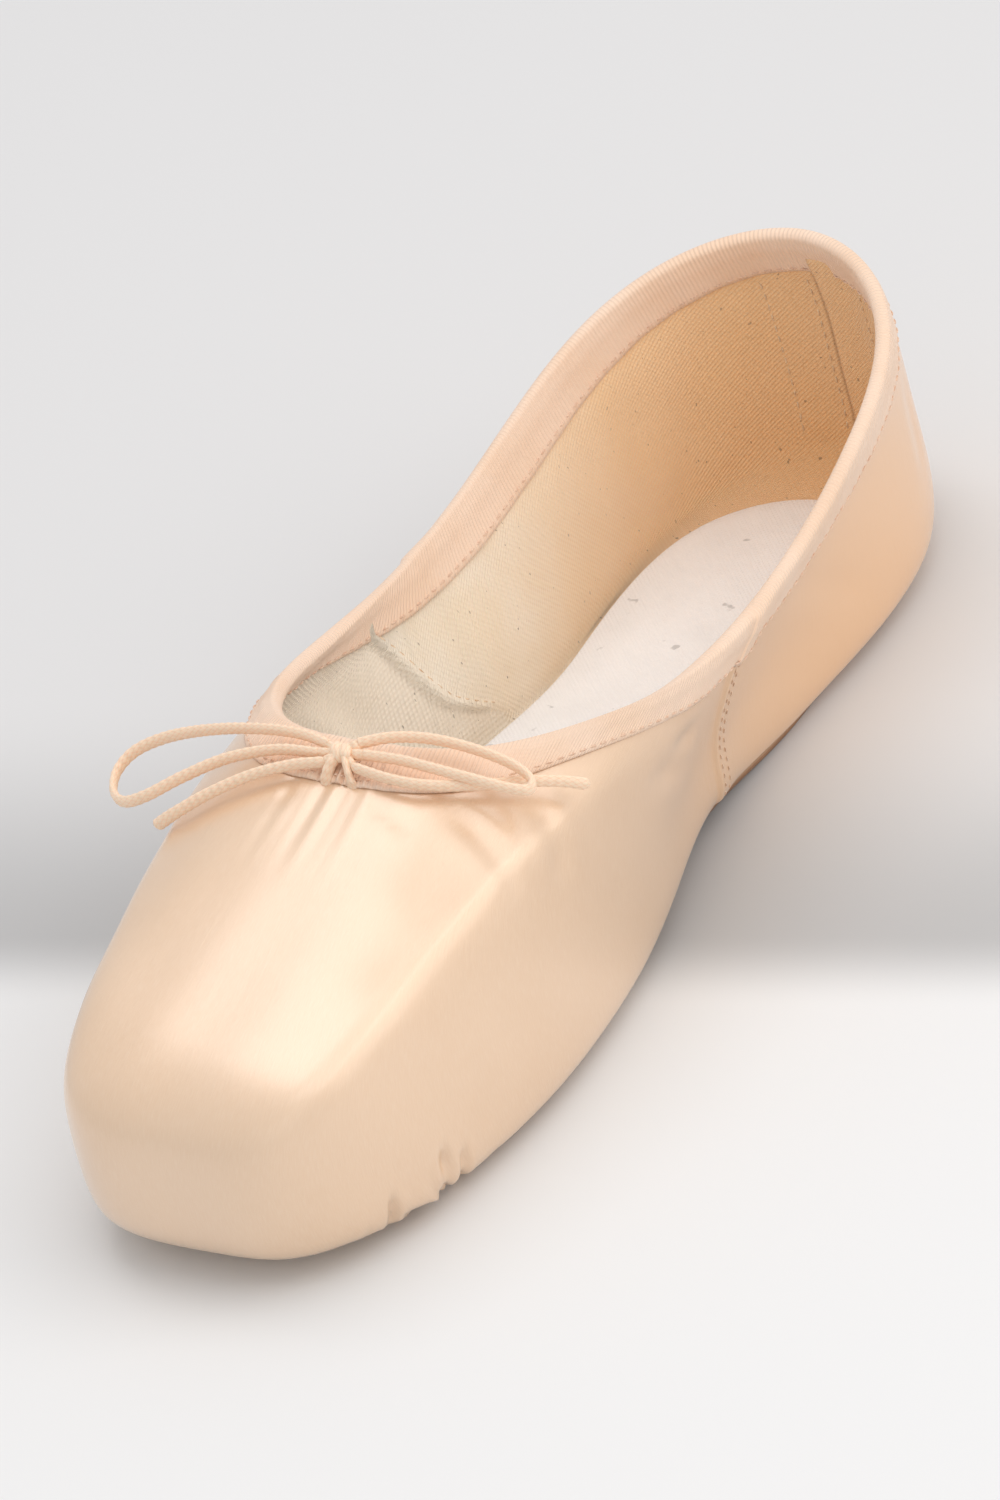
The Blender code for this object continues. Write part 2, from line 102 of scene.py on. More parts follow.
class Wire:
    """Output of a node, so that shader maths is written as Python expressions."""

    def __init__(self, finish, socket):
        self.finish = finish
        self.socket = socket

    def math(self, operation, *others):
        """Math node with this wire as its first value."""
        return self.finish.node("ShaderNodeMath", dict(enumerate((self, *others))), operation=operation)

    def __add__(self, other):
        return self.math("ADD", other)

    __radd__ = __add__

    def __sub__(self, other):
        return self.math("SUBTRACT", other)

    def __mul__(self, other):
        return self.math("MULTIPLY", other)

    def sine(self):
        """Sine of an angle in radians."""
        return self.math("SINE")

    def ramp(self, low, high):
        """0 below low, 1 above high and an even curve between."""
        values = {"Value": self, "From Min": low, "From Max": high, "To Min": 0.0, "To Max": 1.0}
        return self.finish.node("ShaderNodeMapRange", values, interpolation_type="SMOOTHSTEP")


class Finish:
    """Material of a piece: its constants are set on the shader, and its nodes are added by one method."""

    def __init__(self, name, **constants):
        self.material = bpy.data.materials.new(name)
        self.material.use_nodes = True
        self.tree = self.material.node_tree
        self.shader = self.tree.nodes["Principled BSDF"]
        for socket, value in constants.items():
            self.shader.inputs[socket.replace("_", " ").title().replace("Ior", "IOR")].default_value = value

    def feed(self, socket, value):
        """Links a wire to a socket, or sets the socket's own value."""
        if isinstance(value, Wire):
            self.tree.links.new(value.socket, socket)
        else:
            socket.default_value = value

    def node(self, kind, values, output=0, **settings):
        """Adds a node, with its settings first and then the values or wires of its sockets."""
        made = self.tree.nodes.new(kind)
        for setting, value in settings.items():
            setattr(made, setting, value)
        for socket, value in values.items():
            self.feed(made.inputs[socket], value)
        return Wire(self, made.outputs[output])

    def place(self):
        """Place on the shoe, in metres."""
        return self.node("ShaderNodeTexCoord", {}, "Object")

    def axis(self, name):
        """Place on the shoe along X, Y or Z, in metres."""
        return self.node("ShaderNodeSeparateXYZ", {0: self.place()}, name)

    def threads(self):
        """Place on the cloth, in metres along its two directions."""
        place = self.node("ShaderNodeUVMap", {}, uv_map="threads")
        return [self.node("ShaderNodeSeparateXYZ", {0: place}, name) for name in "XY"]

    def noise(self, scale, detail=2.0, roughness=0.5, stretch=(1.0, 1.0, 1.0), place=None):
        """Smooth noise about 0.5, scale in waves to a metre."""
        moved = self.node("ShaderNodeMapping", {0: place or self.place(), "Scale": stretch})
        values = {"Vector": moved, "Scale": scale, "Detail": detail, "Roughness": roughness}
        return self.node("ShaderNodeTexNoise", values)

    def mix(self, share, first, second):
        """Colour between two colours."""
        colours = [c if isinstance(c, Wire) else (*c, 1.0) for c in (first, second)]
        return self.node("ShaderNodeMix", {0: share, 6: colours[0], 7: colours[1]}, 2, data_type="RGBA")

    def surface(self, colour, roughness, height=None, depth=0.0):
        """Feeds what changes over the surface: its colour, roughness and relief."""
        self.feed(self.shader.inputs["Base Color"], colour)
        self.feed(self.shader.inputs["Roughness"], roughness)
        if height is not None:
            bump = self.node("ShaderNodeBump", {"Height": height, "Distance": depth, "Strength": 1.0})
            self.feed(self.shader.inputs["Normal"], bump)
        return self.material


# The floor is pale, with painted shade behind the shoe along a line that lies level in the picture: a darker
# band on the line and a greyer floor beyond it stand in for light falling off toward the back.
FLOOR_SIZE = 3.0
HORIZON_DROP = 0.032
NEAR_FLOOR = (0.825, 0.825, 0.825)
FLOOR_SHADE_BAND = (0.51, 0.507, 0.507)
FLOOR_FALLOFF_SHADE = (0.735, 0.73, 0.73)
floor_finish = Finish("studio_floor", specular_ior_level=0.2)
eye = aim + away * DISTANCE
rays = [aim - camera_up * HORIZON_DROP + camera_right * side - eye for side in (-0.1, 0.1)]
ground = [eye - ray * (eye.z / ray.z) for ray in rays]
line_turn = math.atan2(ground[1].y - ground[0].y, ground[1].x - ground[0].x)
across_floor = floor_finish.node("ShaderNodeMapping", {
    0: floor_finish.place(), "Location": tuple(ground[0]), "Rotation": (0.0, 0.0, line_turn)},
    vector_type="TEXTURE")
behind = floor_finish.node("ShaderNodeSeparateXYZ", {0: across_floor}, "Y")
# Painted shade: the band and the far floor are darker than the near floor.
backdrop = floor_finish.mix(behind.ramp(0.0, 0.07), FLOOR_SHADE_BAND, FLOOR_FALLOFF_SHADE)
floor_finish.surface(floor_finish.mix(behind.ramp(-0.018, 0.002), NEAR_FLOOR, backdrop), 0.7)
floor_mesh = bpy.data.meshes.new("floor")
half_floor = FLOOR_SIZE / 2
floor_corners = [(x * half_floor, y * half_floor, 0.0) for x, y in ((-1, -1), (1, -1), (1, 1), (-1, 1))]
floor_mesh.from_pydata(floor_corners, [], [(0, 1, 2, 3)])
floor_mesh.materials.append(floor_finish.material)
floor = bpy.data.objects.new("floor", floor_mesh)
bpy.context.scene.collection.objects.link(floor)


def unit(vectors):
    """Vectors of length 1 in the same directions."""
    return vectors / np.linalg.norm(vectors, axis=-1, keepdims=True)


def ring_faces(rings, sides, closed):
    """Four-sided faces between rings of points that follow each other, and in a circle if closed."""
    i, j = np.meshgrid(np.arange(rings if closed else rings - 1), np.arange(sides), indexing="ij")
    far = (i + 1) % rings * sides
    side = (j + 1) % sides
    return np.stack([i * sides + j, far + j, far + side, i * sides + side], -1).reshape(-1, 4)


def placed(name, mesh):
    """Object of a mesh, smooth, that rides on the shoe's one body."""
    mesh.shade_smooth()
    made = bpy.data.objects.new(name, mesh)
    bpy.context.scene.collection.objects.link(made)
    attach(made, "root")
    return made


def grid(name, points, threads, ring, materials, slots=None):
    """Closed mesh of a grid of points: sections along the first axis, each a closed loop of points.

    The sections join in a ring or end in two flat caps. threads has a row and a column more than the
    faces have, and gives each corner its place on the cloth. slots gives each face of the grid its
    material. The faces are turned so that the enclosed volume is positive.
    """
    sections, around = points.shape[:2]
    quads = ring_faces(sections, around, ring)
    corners = [threads[:-1, :-1], threads[1:, :-1], threads[1:, 1:], threads[:-1, 1:]]
    corners = np.stack(corners, -2).reshape(-1, 4, 2)
    flat = points.reshape(-1, 3)
    first = np.arange(around)
    caps = [] if ring else [first, first[::-1] + (sections - 1) * around]
    a, b, c, d = (flat[quads[:, k]] for k in range(4))
    if np.sum(a * np.cross(b, c)) + np.sum(a * np.cross(c, d)) < 0.0:
        quads = quads[:, ::-1]
        corners = corners[:, ::-1]
        caps = [cap[::-1] for cap in caps]
    mesh = bpy.data.meshes.new(name)
    mesh.from_pydata(flat.tolist(), [], quads.tolist() + [cap.tolist() for cap in caps])
    layer = mesh.uv_layers.new(name="threads")
    uv = np.zeros((len(mesh.loops), 2))
    uv[:corners.shape[0] * 4] = corners.reshape(-1, 2)
    layer.data.foreach_set("uv", uv.ravel())
    for material in materials:
        mesh.materials.append(material)
    if slots is not None:
        chosen = np.zeros(len(mesh.polygons), int)
        chosen[:slots.size] = slots.ravel()
        mesh.polygons.foreach_set("material_index", chosen)
    return placed(name, mesh)


def run_of(points, axis=0):
    """Distance along a row of points from its first, on one axis of an array of points."""
    step = np.linalg.norm(np.diff(points, axis=axis), axis=-1)
    start = np.zeros_like(np.take(step, [0], axis=axis))
    return np.concatenate([start, np.cumsum(step, axis=axis)], axis=axis)


def at_run(where, run, points):
    """Points at some distances along a row of points."""
    return np.stack([np.interp(where, run, points[:, k]) for k in range(3)], -1)


# Drawstring
# A thin braided cotton cord comes out of the casing at the throat and is tied there in a bow: a knot
# with a long and a short loop and two ends, the same length as in the photograph.
BRAID_PITCH = 0.0030
BRAID_STRANDS = 4
BRAID_RELIEF = 0.07
FLAT_WIDTH = 0.0022
FLAT_THICKNESS = 0.0013
CORD_STEP = 0.00016
CORD_SIDES = 24
LOOP_TIPS = (0.1, 0.1)
END_TIPS = (0.4, 0.5)
KNOT = np.array((0.0000, -0.0445, 0.0561))
BOW_IN_MILLIMETRES = {
    "drawstring_loop_left": [
        (-2.8, -43.8, 56.7), (-8.5, -42.4, 56.7), (-15.0, -41.6, 56.1), (-24.0, -41.2, 54.6),
        (-33.0, -40.8, 52.1), (-40.0, -41.2, 49.7), (-45.0, -43.0, 47.5), (-47.0, -46.2, 45.5),
        (-45.5, -50.2, 44.5), (-41.5, -53.0, 45.1), (-36.5, -52.8, 47.1), (-30.0, -50.0, 50.1),
        (-22.0, -47.0, 53.1), (-13.0, -45.0, 54.9), (-4.4, -44.8, 55.5),
    ],
    "drawstring_loop_right": [
        (2.6, -43.2, 57.5), (8.0, -40.8, 57.9), (14.5, -39.2, 57.5), (22.0, -38.4, 56.1),
        (28.5, -38.4, 54.3), (32.5, -39.4, 52.7), (33.0, -41.2, 51.9), (30.0, -42.6, 52.7),
        (24.0, -43.6, 54.3), (17.0, -44.0, 55.5), (11.0, -44.0, 56.1), (4.0, -44.4, 56.3),
    ],
    "drawstring_end_left": [
        (-2.4, -46.2, 55.1), (-9.0, -47.6, 54.3), (-16.0, -50.0, 52.7), (-23.0, -53.2, 50.1),
        (-29.0, -55.6, 46.9), (-33.5, -56.2, 43.7),
    ],
    "drawstring_end_right": [
        (2.4, -46.2, 54.9), (9.6, -47.2, 54.6), (14.8, -46.7, 53.9), (19.6, -44.9, 53.0),
        (23.6, -42.5, 52.1), (27.5, -39.6, 51.1), (31.2, -36.6, 49.9), (34.6, -33.6, 48.2),
        (37.3, -31.0, 46.1),
    ],
}
BOW = {name: np.array(route) / 1000.0 for name, route in BOW_IN_MILLIMETRES.items()}


def smooth(low, high, value):
    """0 below low, 1 above high and an even curve between."""
    share = np.clip((value - low) / (high - low), 0.0, 1.0)
    return share * share * (3.0 - 2.0 * share)


def smooth_route(points, spacing):
    """Points at an even spacing on a smooth curve through the route's own points."""
    points = np.array(points, float)
    ends = np.vstack([2 * points[0] - points[1], points, 2 * points[-1] - points[-2]])
    before, a, b, after = (ends[k:len(ends) - 3 + k, None] for k in range(4))
    t = np.linspace(0.0, 1.0, 24, endpoint=False)[None, :, None]
    fine = a + 0.5 * t * (b - before + t * (2 * before - 5 * a + 4 * b - after
                                            + t * (3 * (a - b) + after - before)))
    fine = np.vstack([fine.reshape(-1, 3), points[-1:]])
    run = run_of(fine)
    return at_run(np.linspace(0.0, run[-1], max(int(run[-1] / spacing), 4) + 1), run, fine)


def braid(name, route, material, tip_start=0.4, tip_end=0.4, sideways=(0.0, 0.0, 1.0)):
    """Braided cord: rings across the route, lifted where strands of the two twists cross.

    The section at a length s and an angle a is an oval times (1 + relief cos(n a + 2 pi s / pitch)
    cos(n a - 2 pi s / pitch)). It closes at each end over a tip, given in cord widths.
    """
    line = smooth_route(route, CORD_STEP)
    run = run_of(line)
    tangent = unit(np.gradient(line, axis=0))
    side = unit(np.cross(tangent, sideways))
    over = np.cross(side, tangent)
    angle = np.linspace(0.0, 2 * np.pi, CORD_SIDES + 1)
    twist = 2 * np.pi * run[:, None] / BRAID_PITCH
    crossing = np.cos(BRAID_STRANDS * angle + twist) * np.cos(BRAID_STRANDS * angle - twist)
    from_start = run / (tip_start * FLAT_WIDTH)
    from_end = (run[-1] - run) / (tip_end * FLAT_WIDTH)
    inside = np.clip(np.minimum(from_start, from_end), 0.02, 1.0)
    tip = np.sqrt(1.0 - (1.0 - inside) ** 2)
    swell = (tip[:, None] * (1.0 + BRAID_RELIEF * crossing))[..., None]
    rings = line[:, None] + swell * (FLAT_THICKNESS / 2 * np.cos(angle)[:, None] * side[:, None]
                                     + FLAT_WIDTH / 2 * np.sin(angle)[:, None] * over[:, None])
    threads = np.stack(np.broadcast_arrays(run[:, None], angle[None] * FLAT_WIDTH / 2), -1)
    return grid(name, rings[:, :-1], threads, False, [material])


def cord_cloth():
    """Pale peach cotton with painted shade between the strands, and a fine fuzz."""
    cord = Finish("cotton_cord", sheen_weight=0.2, sheen_roughness=0.5, sheen_tint=(1.0, 0.9, 0.8, 1.0),
                  specular_ior_level=0.3, subsurface_weight=0.08, subsurface_radius=(0.002, 0.001, 0.0007))
    along, around = cord.threads()
    lean = around * (BRAID_STRANDS / (FLAT_WIDTH / 2))
    twist = along * (2 * math.pi / BRAID_PITCH)
    fibre = cord.noise(2600.0, 3.0, 0.6)
    crossing = (lean + twist).sine() * (lean - twist).sine()
    groove = crossing.math("ABSOLUTE").ramp(0.0, 0.35)
    # Painted shade: the darker tone lies between the strands, mixed with a random fibre tone.
    tone = cord.mix(groove * 0.6 + fibre * 0.4, (0.95, 0.61, 0.41), (0.98, 0.79, 0.60))
    return cord.surface(tone, 0.68, crossing * 0.5 + fibre * 0.6, 0.00009)


drawstring_cloth = cord_cloth()
bow = {}
for cord_name, route in BOW.items():
    tips = LOOP_TIPS if "loop" in cord_name else END_TIPS
    bow[cord_name] = braid(cord_name.replace("drawstring", "cord"), route, drawstring_cloth, *tips)

# The bow's knot: one strand wraps twice round the crossing strands, and two short lengths of the
# cord dip from it into the gathered casing.
KNOT_RADIUS = 0.00105
KNOT_TURNS = 1.6
KNOT_LEAN = 0.0009
turn = np.linspace(-0.35, KNOT_TURNS, 40)[:, None] * 2 * np.pi
wrap = KNOT + np.concatenate([KNOT_LEAN * (turn / np.pi - KNOT_TURNS), KNOT_RADIUS * np.cos(turn),
                              KNOT_RADIUS * np.sin(turn)], axis=1)
CROSSINGS = np.array([
    [(-3.2, -43.8, 56.7), (-1.0, -44.4, 56.3), (1.2, -44.0, 56.6), (3.0, -43.2, 57.5)],
    [(-4.8, -44.8, 55.5), (-1.6, -44.9, 55.8), (1.2, -45.2, 55.6), (2.8, -46.2, 54.9)],
    [(-2.8, -46.3, 55.1), (-0.8, -45.5, 55.7), (1.4, -44.6, 56.0), (4.4, -44.4, 56.3)],
    [(-0.6, -45.2, 56.2), (-1.6, -46.6, 54.8), (-2.2, -47.4, 53.0), (-2.6, -47.6, 51.2)],
    [(0.7, -45.2, 56.2), (1.7, -46.6, 54.7), (2.3, -47.3, 53.0), (2.7, -47.4, 51.2)],
]) / 1000.0
knot_parts = [braid("knot_wrap", wrap, drawstring_cloth, 0.8, 0.8, (1.0, 0.0, 0.0))]
knot_parts += [braid("knot_strand", strand, drawstring_cloth, 0.3, 0.3) for strand in CROSSINGS]


def joined(name, parts):
    """One piece of several closed meshes."""
    with bpy.context.temp_override(active_object=parts[0], selected_editable_objects=parts):
        bpy.ops.object.join()
    parts[0].name = name
    return parts[0]


knot = joined("tied_knot", knot_parts)
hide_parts("drawstring_knot")
for cord_name, piece in bow.items():
    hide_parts(cord_name)
    line = smooth_route(BOW[cord_name], 0.002)


# Upper
# Satin drawn over a stiff block at the toe, pleated under the platform, and lapped at the side seams.
# It rolls round the edge of the sole and is stitched to the casing at the top.
LENGTH = 0.232
BALL_WIDTH = 0.0765
WAIST_WIDTH = 0.0665
HEEL_WIDTH = 0.057
COLLAR_WIDTH = 0.0695
VAMP_LENGTH = 0.0765
PLATFORM_HEIGHT = 0.032
THROAT_HEIGHT = 0.054
WAIST_HEIGHT = 0.0385
HEEL_HEIGHT = 0.0555
SOLE_THICKNESS = 0.0022
ARCH_RISE = 0.003
TOE_SPRING = 0.0012
UPPER_WALL = 0.0014
BOX_WALL = 0.0024
LIP_WIDTH = 0.007
ROLL_DROP = 0.0011
FEATHER = 0.001
GAP = 0.0003
CASING_WIDTH = 0.0085

# A row for each section, toe to heel: shares of the sizes above, as the solids have them. Each holds the
# sole's x and y, the side's x, y, low z and high z, the ridge's and the collar's x, y and z, and the roll.
FOREPART = [
    (0.00, -0.380, 0.00, -0.502, 0.16, 0.84, 0.00, -0.484, 0.65, 0.00, 0.000, 1.00, 1.0),
    (0.24, -0.380, 0.25, -0.502, 0.16, 0.84, 0.31, -0.483, 0.65, 0.22, 0.000, 1.00, 1.0),
    (0.45, -0.371, 0.50, -0.494, 0.16, 0.84, 0.60, -0.471, 0.65, 0.41, 0.010, 0.99, 1.0),
    (0.62, -0.345, 0.75, -0.446, 0.16, 0.81, 0.72, -0.412, 0.69, 0.59, 0.033, 0.97, 1.0),
    (0.72, -0.298, 0.91, -0.358, 0.16, 0.75, 0.79, -0.320, 0.76, 0.75, 0.075, 0.94, 1.0),
    (0.78, -0.233, 1.00, -0.263, 0.16, 0.75, 0.87, -0.226, 0.80, 0.87, 0.138, 0.89, 1.0),
    (0.76, -0.147, 0.98, -0.160, 0.16, 0.72, 0.95, -0.130, 0.75, 0.96, 0.222, 0.81, 0.8),
]
WAIST = [
    (0.74, -0.040, 1.00, -0.048, 0.18, 0.62, 1.04, -0.024, 0.86, 1.00, 0.318, 1.05, 0.3),
    (0.69, 0.068, 0.76, 0.068, 0.25, 0.60, 0.94, 0.076, 0.78, 1.00, 0.415, 1.00, 0.0),
    (0.69, 0.164, 0.76, 0.176, 0.25, 0.60, 0.90, 0.184, 0.80, 0.99, 0.552, 1.03, 0.0),
]
HEEL = [
    (0.80, 0.252, 1.00, 0.284, 0.19, 0.60, 1.05, 0.284, 0.61, 0.97, 0.689, 0.80, 0.3),
    (0.72, 0.322, 0.98, 0.392, 0.17, 0.63, 1.00, 0.384, 0.67, 0.88, 0.826, 0.89, 0.6),
    (0.43, 0.358, 0.65, 0.470, 0.19, 0.66, 0.67, 0.466, 0.72, 0.56, 0.939, 0.965, 0.6),
    (0.00, 0.370, 0.00, 0.511, 0.19, 0.66, 0.00, 0.509, 0.74, 0.00, 1.000, 1.00, 0.6),
]
HEEL_CENTRE = 13
SECTIONS = 26
SIDE_SEAM = 8.0
SECTION_LENGTH = 0.024
COLLAR = 10.0
COLLAR_END = 0.49


def sole_rise(along):
    """Height of the sole's lower face: flat at forefoot and heel, raised at the arch and the toe."""
    share = along / LENGTH
    arch = smooth(-0.12, 0.05, share) * (1.0 - smooth(0.05, 0.20, share))
    return ARCH_RISE * arch + TOE_SPRING * (1.0 - smooth(-0.385, -0.30, share))


def control_net():
    """Control points of the skin: 26 sections of eleven points, from the turned lip to the collar."""
    throat = LENGTH * -0.5 + VAMP_LENGTH
    opening = LENGTH * COLLAR_END - throat
    lip = SOLE_THICKNESS + GAP + ROLL_DROP / 6.0
    shares = np.array(FOREPART + WAIST + HEEL)
    counts = [len(FOREPART), len(WAIST), len(HEEL)]
    half_width = np.repeat([BALL_WIDTH / 2, WAIST_WIDTH / 2, HEEL_WIDTH / 2], counts)
    height = np.repeat([THROAT_HEIGHT, WAIST_HEIGHT, HEEL_HEIGHT], counts)
    sole = np.stack([shares[:, 0] * half_width, shares[:, 1] * LENGTH], -1)
    side = np.stack([shares[:, 2] * half_width, shares[:, 3] * LENGTH], -1)
    ridge = np.stack([shares[:, 6] * half_width, shares[:, 7] * LENGTH], -1)
    collar = np.stack([shares[:, 9] * COLLAR_WIDTH / 2, throat + shares[:, 10] * opening], -1)
    low = shares[:, 4] * PLATFORM_HEIGHT
    high = shares[:, 5] * PLATFORM_HEIGHT
    ridge_up = shares[:, 8] * height
    collar_up = shares[:, 11] * height
    outward = unit(side - sole)
    flat = [sole - LIP_WIDTH * outward, sole - FEATHER * outward, sole + 1.5 * FEATHER * outward,
            sole + 0.55 * (side - sole), sole + 0.95 * (side - sole), side, side + 0.1 * (ridge - side),
            ridge, ridge + 0.34 * (collar - ridge), ridge + 0.67 * (collar - ridge), collar]
    level = np.full(len(shares), lip)
    up = [level, level, level, lip - shares[:, 12] * ROLL_DROP, 0.75 * low, low + 0.4 * (high - low), high,
          ridge_up, ridge_up + 0.34 * (collar_up - ridge_up), ridge_up + 0.67 * (collar_up - ridge_up),
          collar_up]
    half = np.concatenate([np.stack(flat, 1), np.stack(up, 1)[..., None]], axis=2)
    return np.concatenate([half, half[-2:0:-1] * np.array([-1.0, 1.0, 1.0])])


NET = control_net()
NET = np.concatenate([2 * NET[:, :1] - NET[:, 1:2], NET, 2 * NET[:, -1:] - NET[:, -2:-1]], axis=1)


def spline_weights(t):
    """Weights of four control points in a row, at a share t of the way between the middle two."""
    return np.stack([(1 - t) ** 3, 3 * t**3 - 6 * t**2 + 4, 3 * (t + t**2 - t**3) + 1, t**3], -1) / 6


def bare_skin(u, v):
    """Point of the cubic B-spline surface: u counts sections from the toe, v rows from lip to collar."""
    u, v = np.broadcast_arrays(np.asarray(u, float) % SECTIONS, np.asarray(v, float))
    i = np.floor(u).astype(int)
    j = np.minimum(np.floor(v).astype(int), NET.shape[1] - 4)
    around = spline_weights(u - i)
    up = spline_weights(v - j)
    point = np.zeros(u.shape + (3,))
    for a in range(4):
        for b in range(4):
            point += (around[..., a] * up[..., b])[..., None] * NET[(i + a - 1) % SECTIONS, j + b]
    point[..., 2] += sole_rise(point[..., 1]) * (1.0 - smooth(3.0, 7.0, v))
    return point


def bare_normal(u, v):
    """Unit vector that points out of the shoe."""
    step = 0.02
    along_u = bare_skin(u + step, v) - bare_skin(u - step, v)
    along_v = bare_skin(u, np.minimum(v + step, COLLAR)) - bare_skin(u, np.maximum(v - step, 0.0))
    return unit(np.cross(along_u, along_v))


def inset(u, v, depth):
    """Point at a depth behind the bare last."""
    return bare_skin(u, v) - bare_normal(u, v) * depth[..., None]


def round_shoe(count):
    """Evenly spaced places round the shoe, from the toe's middle."""
    return np.linspace(0.0, SECTIONS, count, endpoint=False)


def from_toe(u):
    """Sections from the toe's middle, below zero on the left side."""
    u = np.asarray(u, float) % SECTIONS
    return np.where(u > HEEL_CENTRE, u - SECTIONS, u)


def rows_below_rim(u, distances):
    """Rows v that lie at some distances down the skin from the collar's edge, for each u."""
    v = np.linspace(COLLAR, 4.0, 121)
    run = run_of(bare_skin(np.asarray(u)[:, None], v[None]), 1)
    return np.stack([np.interp(distances, run[k], v) for k in range(len(u))])


def row_below_rim(u, distance):
    """Row v at one distance below the collar's edge, for one u."""
    return float(rows_below_rim(np.array([u]), [distance])[0, 0])


def fold(points, row):
    """Soft trough along a straight line through space, with a low ridge on each side of it.

    The row holds the line's start and end and the trough's depth and width, all in millimetres. At a
    distance d from the line the height is depth ((d / w)^2 - 1) exp(-(d / w)^2).
    """
    start, end, (depth, width) = np.split(np.array(row) / 1000.0, (3, 6))
    line = end - start
    share = (points - start) @ line / (line @ line)
    near = np.linalg.norm(points - start - share[..., None] * line, axis=-1) / width
    ends = smooth(0.0, 0.35, share) * smooth(0.0, 0.35, 1.0 - share)
    return depth * ends * (near**2 - 1.0) * np.exp(-near**2)


# Folds of the satin: start, end, depth and width in millimetres. They lie where the photograph shows
# them: below the casing by the right seam, beside the throat and beside the sole's toe end. The rest
# are faint drags.
FOLDS = [
    (28.0, -26.0, 44.0, 33.5, 10.0, 27.0, 1.1, 2.8),
    (33.5, 6.0, 30.0, 29.0, 21.0, 11.0, 0.7, 2.2),
    (34.5, -14.0, 35.0, 35.0, 11.0, 19.0, 0.7, 3.4),
    (19.0, -45.0, 51.0, 35.0, -53.0, 38.0, 0.7, 3.0),
    (27.0, -36.0, 48.0, 37.0, -43.0, 33.0, 0.6, 3.4),
    (-30.0, -26.0, 43.0, -34.5, 2.0, 30.0, 0.5, 2.4),
    (6.0, -49.0, 51.5, 18.0, -53.0, 48.0, 0.3, 2.0),
    (17.0, -43.0, 50.0, 23.0, -50.0, 46.0, 0.3, 2.0),
    (-5.0, -49.5, 51.5, -15.0, -53.0, 48.0, 0.3, 2.0),
    (27.0, -86.0, -3.0, 35.0, -87.0, 15.0, 1.5, 1.5),
    (28.0, -82.5, -3.0, 36.0, -83.0, 12.0, 1.0, 1.4),
    (24.5, -96.5, -3.0, 32.0, -98.5, 14.0, 1.2, 1.4),
    (22.5, -101.0, -3.0, 30.0, -103.5, 11.0, 0.8, 1.3),
    (-27.0, -84.0, -3.0, -35.0, -85.0, 14.0, 1.2, 1.5),
    (-24.0, -96.0, -3.0, -32.0, -98.5, 12.0, 0.9, 1.4),
    (31.0, 42.0, 33.0, 29.0, 70.0, 12.0, 0.3, 4.0),
    (-31.0, 40.0, 33.0, -29.0, 68.0, 12.0, 0.3, 4.0),
    (26.0, 98.0, 40.0, 23.0, 95.0, 15.0, 0.3, 3.5),
    (-26.0, 98.0, 40.0, -23.0, 95.0, 15.0, 0.3, 3.5),
]
PLEATS = 17
PLEATED = 4.25
PLEAT_DEPTH = 0.0012
SEAM_STEP = 0.0007
SEAM_HALF_WIDTH = 0.0006
SEAM_FADE = 0.012
GATHER_DEPTH = 0.00013
SATIN_WAVE = 0.00012
SATIN_THICKNESS = 0.0006
UNDER_SATIN = 0.0002
COLUMNS = 520
CREASED_COLUMNS = [np.linspace(2.6, 4.3, 69), np.linspace(21.7, 23.4, 35)]


def pleating(u, v):
    """Knife pleats under the toe: each rises slowly and drops over its edge, uneven in width and reach."""
    side = from_toe(u)
    uneven = 0.22 * np.sin(2.3 * side) + 0.1 * np.sin(7.1 * side + 1.0)
    phase = (side + PLEATED) / (2 * PLEATED) * PLEATS + uneven
    number = np.floor(phase)
    share = phase - number
    edge = np.minimum(share / 0.82, (1.0 - share) / 0.18)
    middle = (number + 0.5) / PLEATS * 2 * PLEATED - PLEATED
    reach = 3.1 + 2.0 * smooth(2.2, 3.3, np.abs(middle)) * (0.6 + 0.4 * np.sin(2.9 * number + 0.6))
    faded = 1.0 - smooth(reach - 1.1, reach + 0.35, v)
    return edge**1.3 * smooth(1.5, 2.2, v) * faded * (1.0 - smooth(PLEATED - 0.4, PLEATED, np.abs(side)))


def relief(u, v):
    """Height of the satin above the bare last: pleats, lapped side seams, gathers at the throat, folds."""
    u, v = np.broadcast_arrays(np.asarray(u, float), np.asarray(v, float))
    side = from_toe(u)
    behind = (np.abs(side) - SIDE_SEAM) * SECTION_LENGTH
    lap = smooth(-SEAM_HALF_WIDTH, SEAM_HALF_WIDTH, behind) * (1.0 - smooth(0.0, SEAM_FADE, behind))
    lap = lap * smooth(2.4, 3.4, v)
    near_throat = np.exp(-(side / 1.2) ** 2) * smooth(8.75, 9.7, v)
    gather = near_throat * (np.cos(8.3 * side + 0.4 * np.sin(5.0 * side)) + 0.4 * np.cos(15.0 * side + 1.0))
    points = bare_skin(u, v)
    height = PLEAT_DEPTH * pleating(u, v) + SEAM_STEP * lap + GATHER_DEPTH * gather
    for row in FOLDS:
        height = height + fold(points, row) * (1.0 - smooth(9.6, 10.0, v))
    slow = np.sin(points @ (210.0, 95.0, 160.0)) * np.sin(points @ (-120.0, 170.0, 90.0) + 1.3)
    return height + SATIN_WAVE * slow * smooth(3.0, 5.0, v) * (1.0 - smooth(8.5, 10.0, v))


def skin(u, v, out=0.0):
    """Point on the satin's outer face, or at a distance out from it along the last's normal."""
    return bare_skin(u, v) + bare_normal(u, v) * np.asarray(relief(u, v) + out)[..., None]


def wall(u, v):
    """Thickness of the upper: cloth at the quarters, stiffened in the box, thin at the lip and throat."""
    box = (1.0 - smooth(4.2, 6.2, np.abs(from_toe(u)))) * smooth(3.0, 4.5, v) * (1.0 - smooth(8.3, 9.6, v))
    return UPPER_WALL + (BOX_WALL - UPPER_WALL) * box


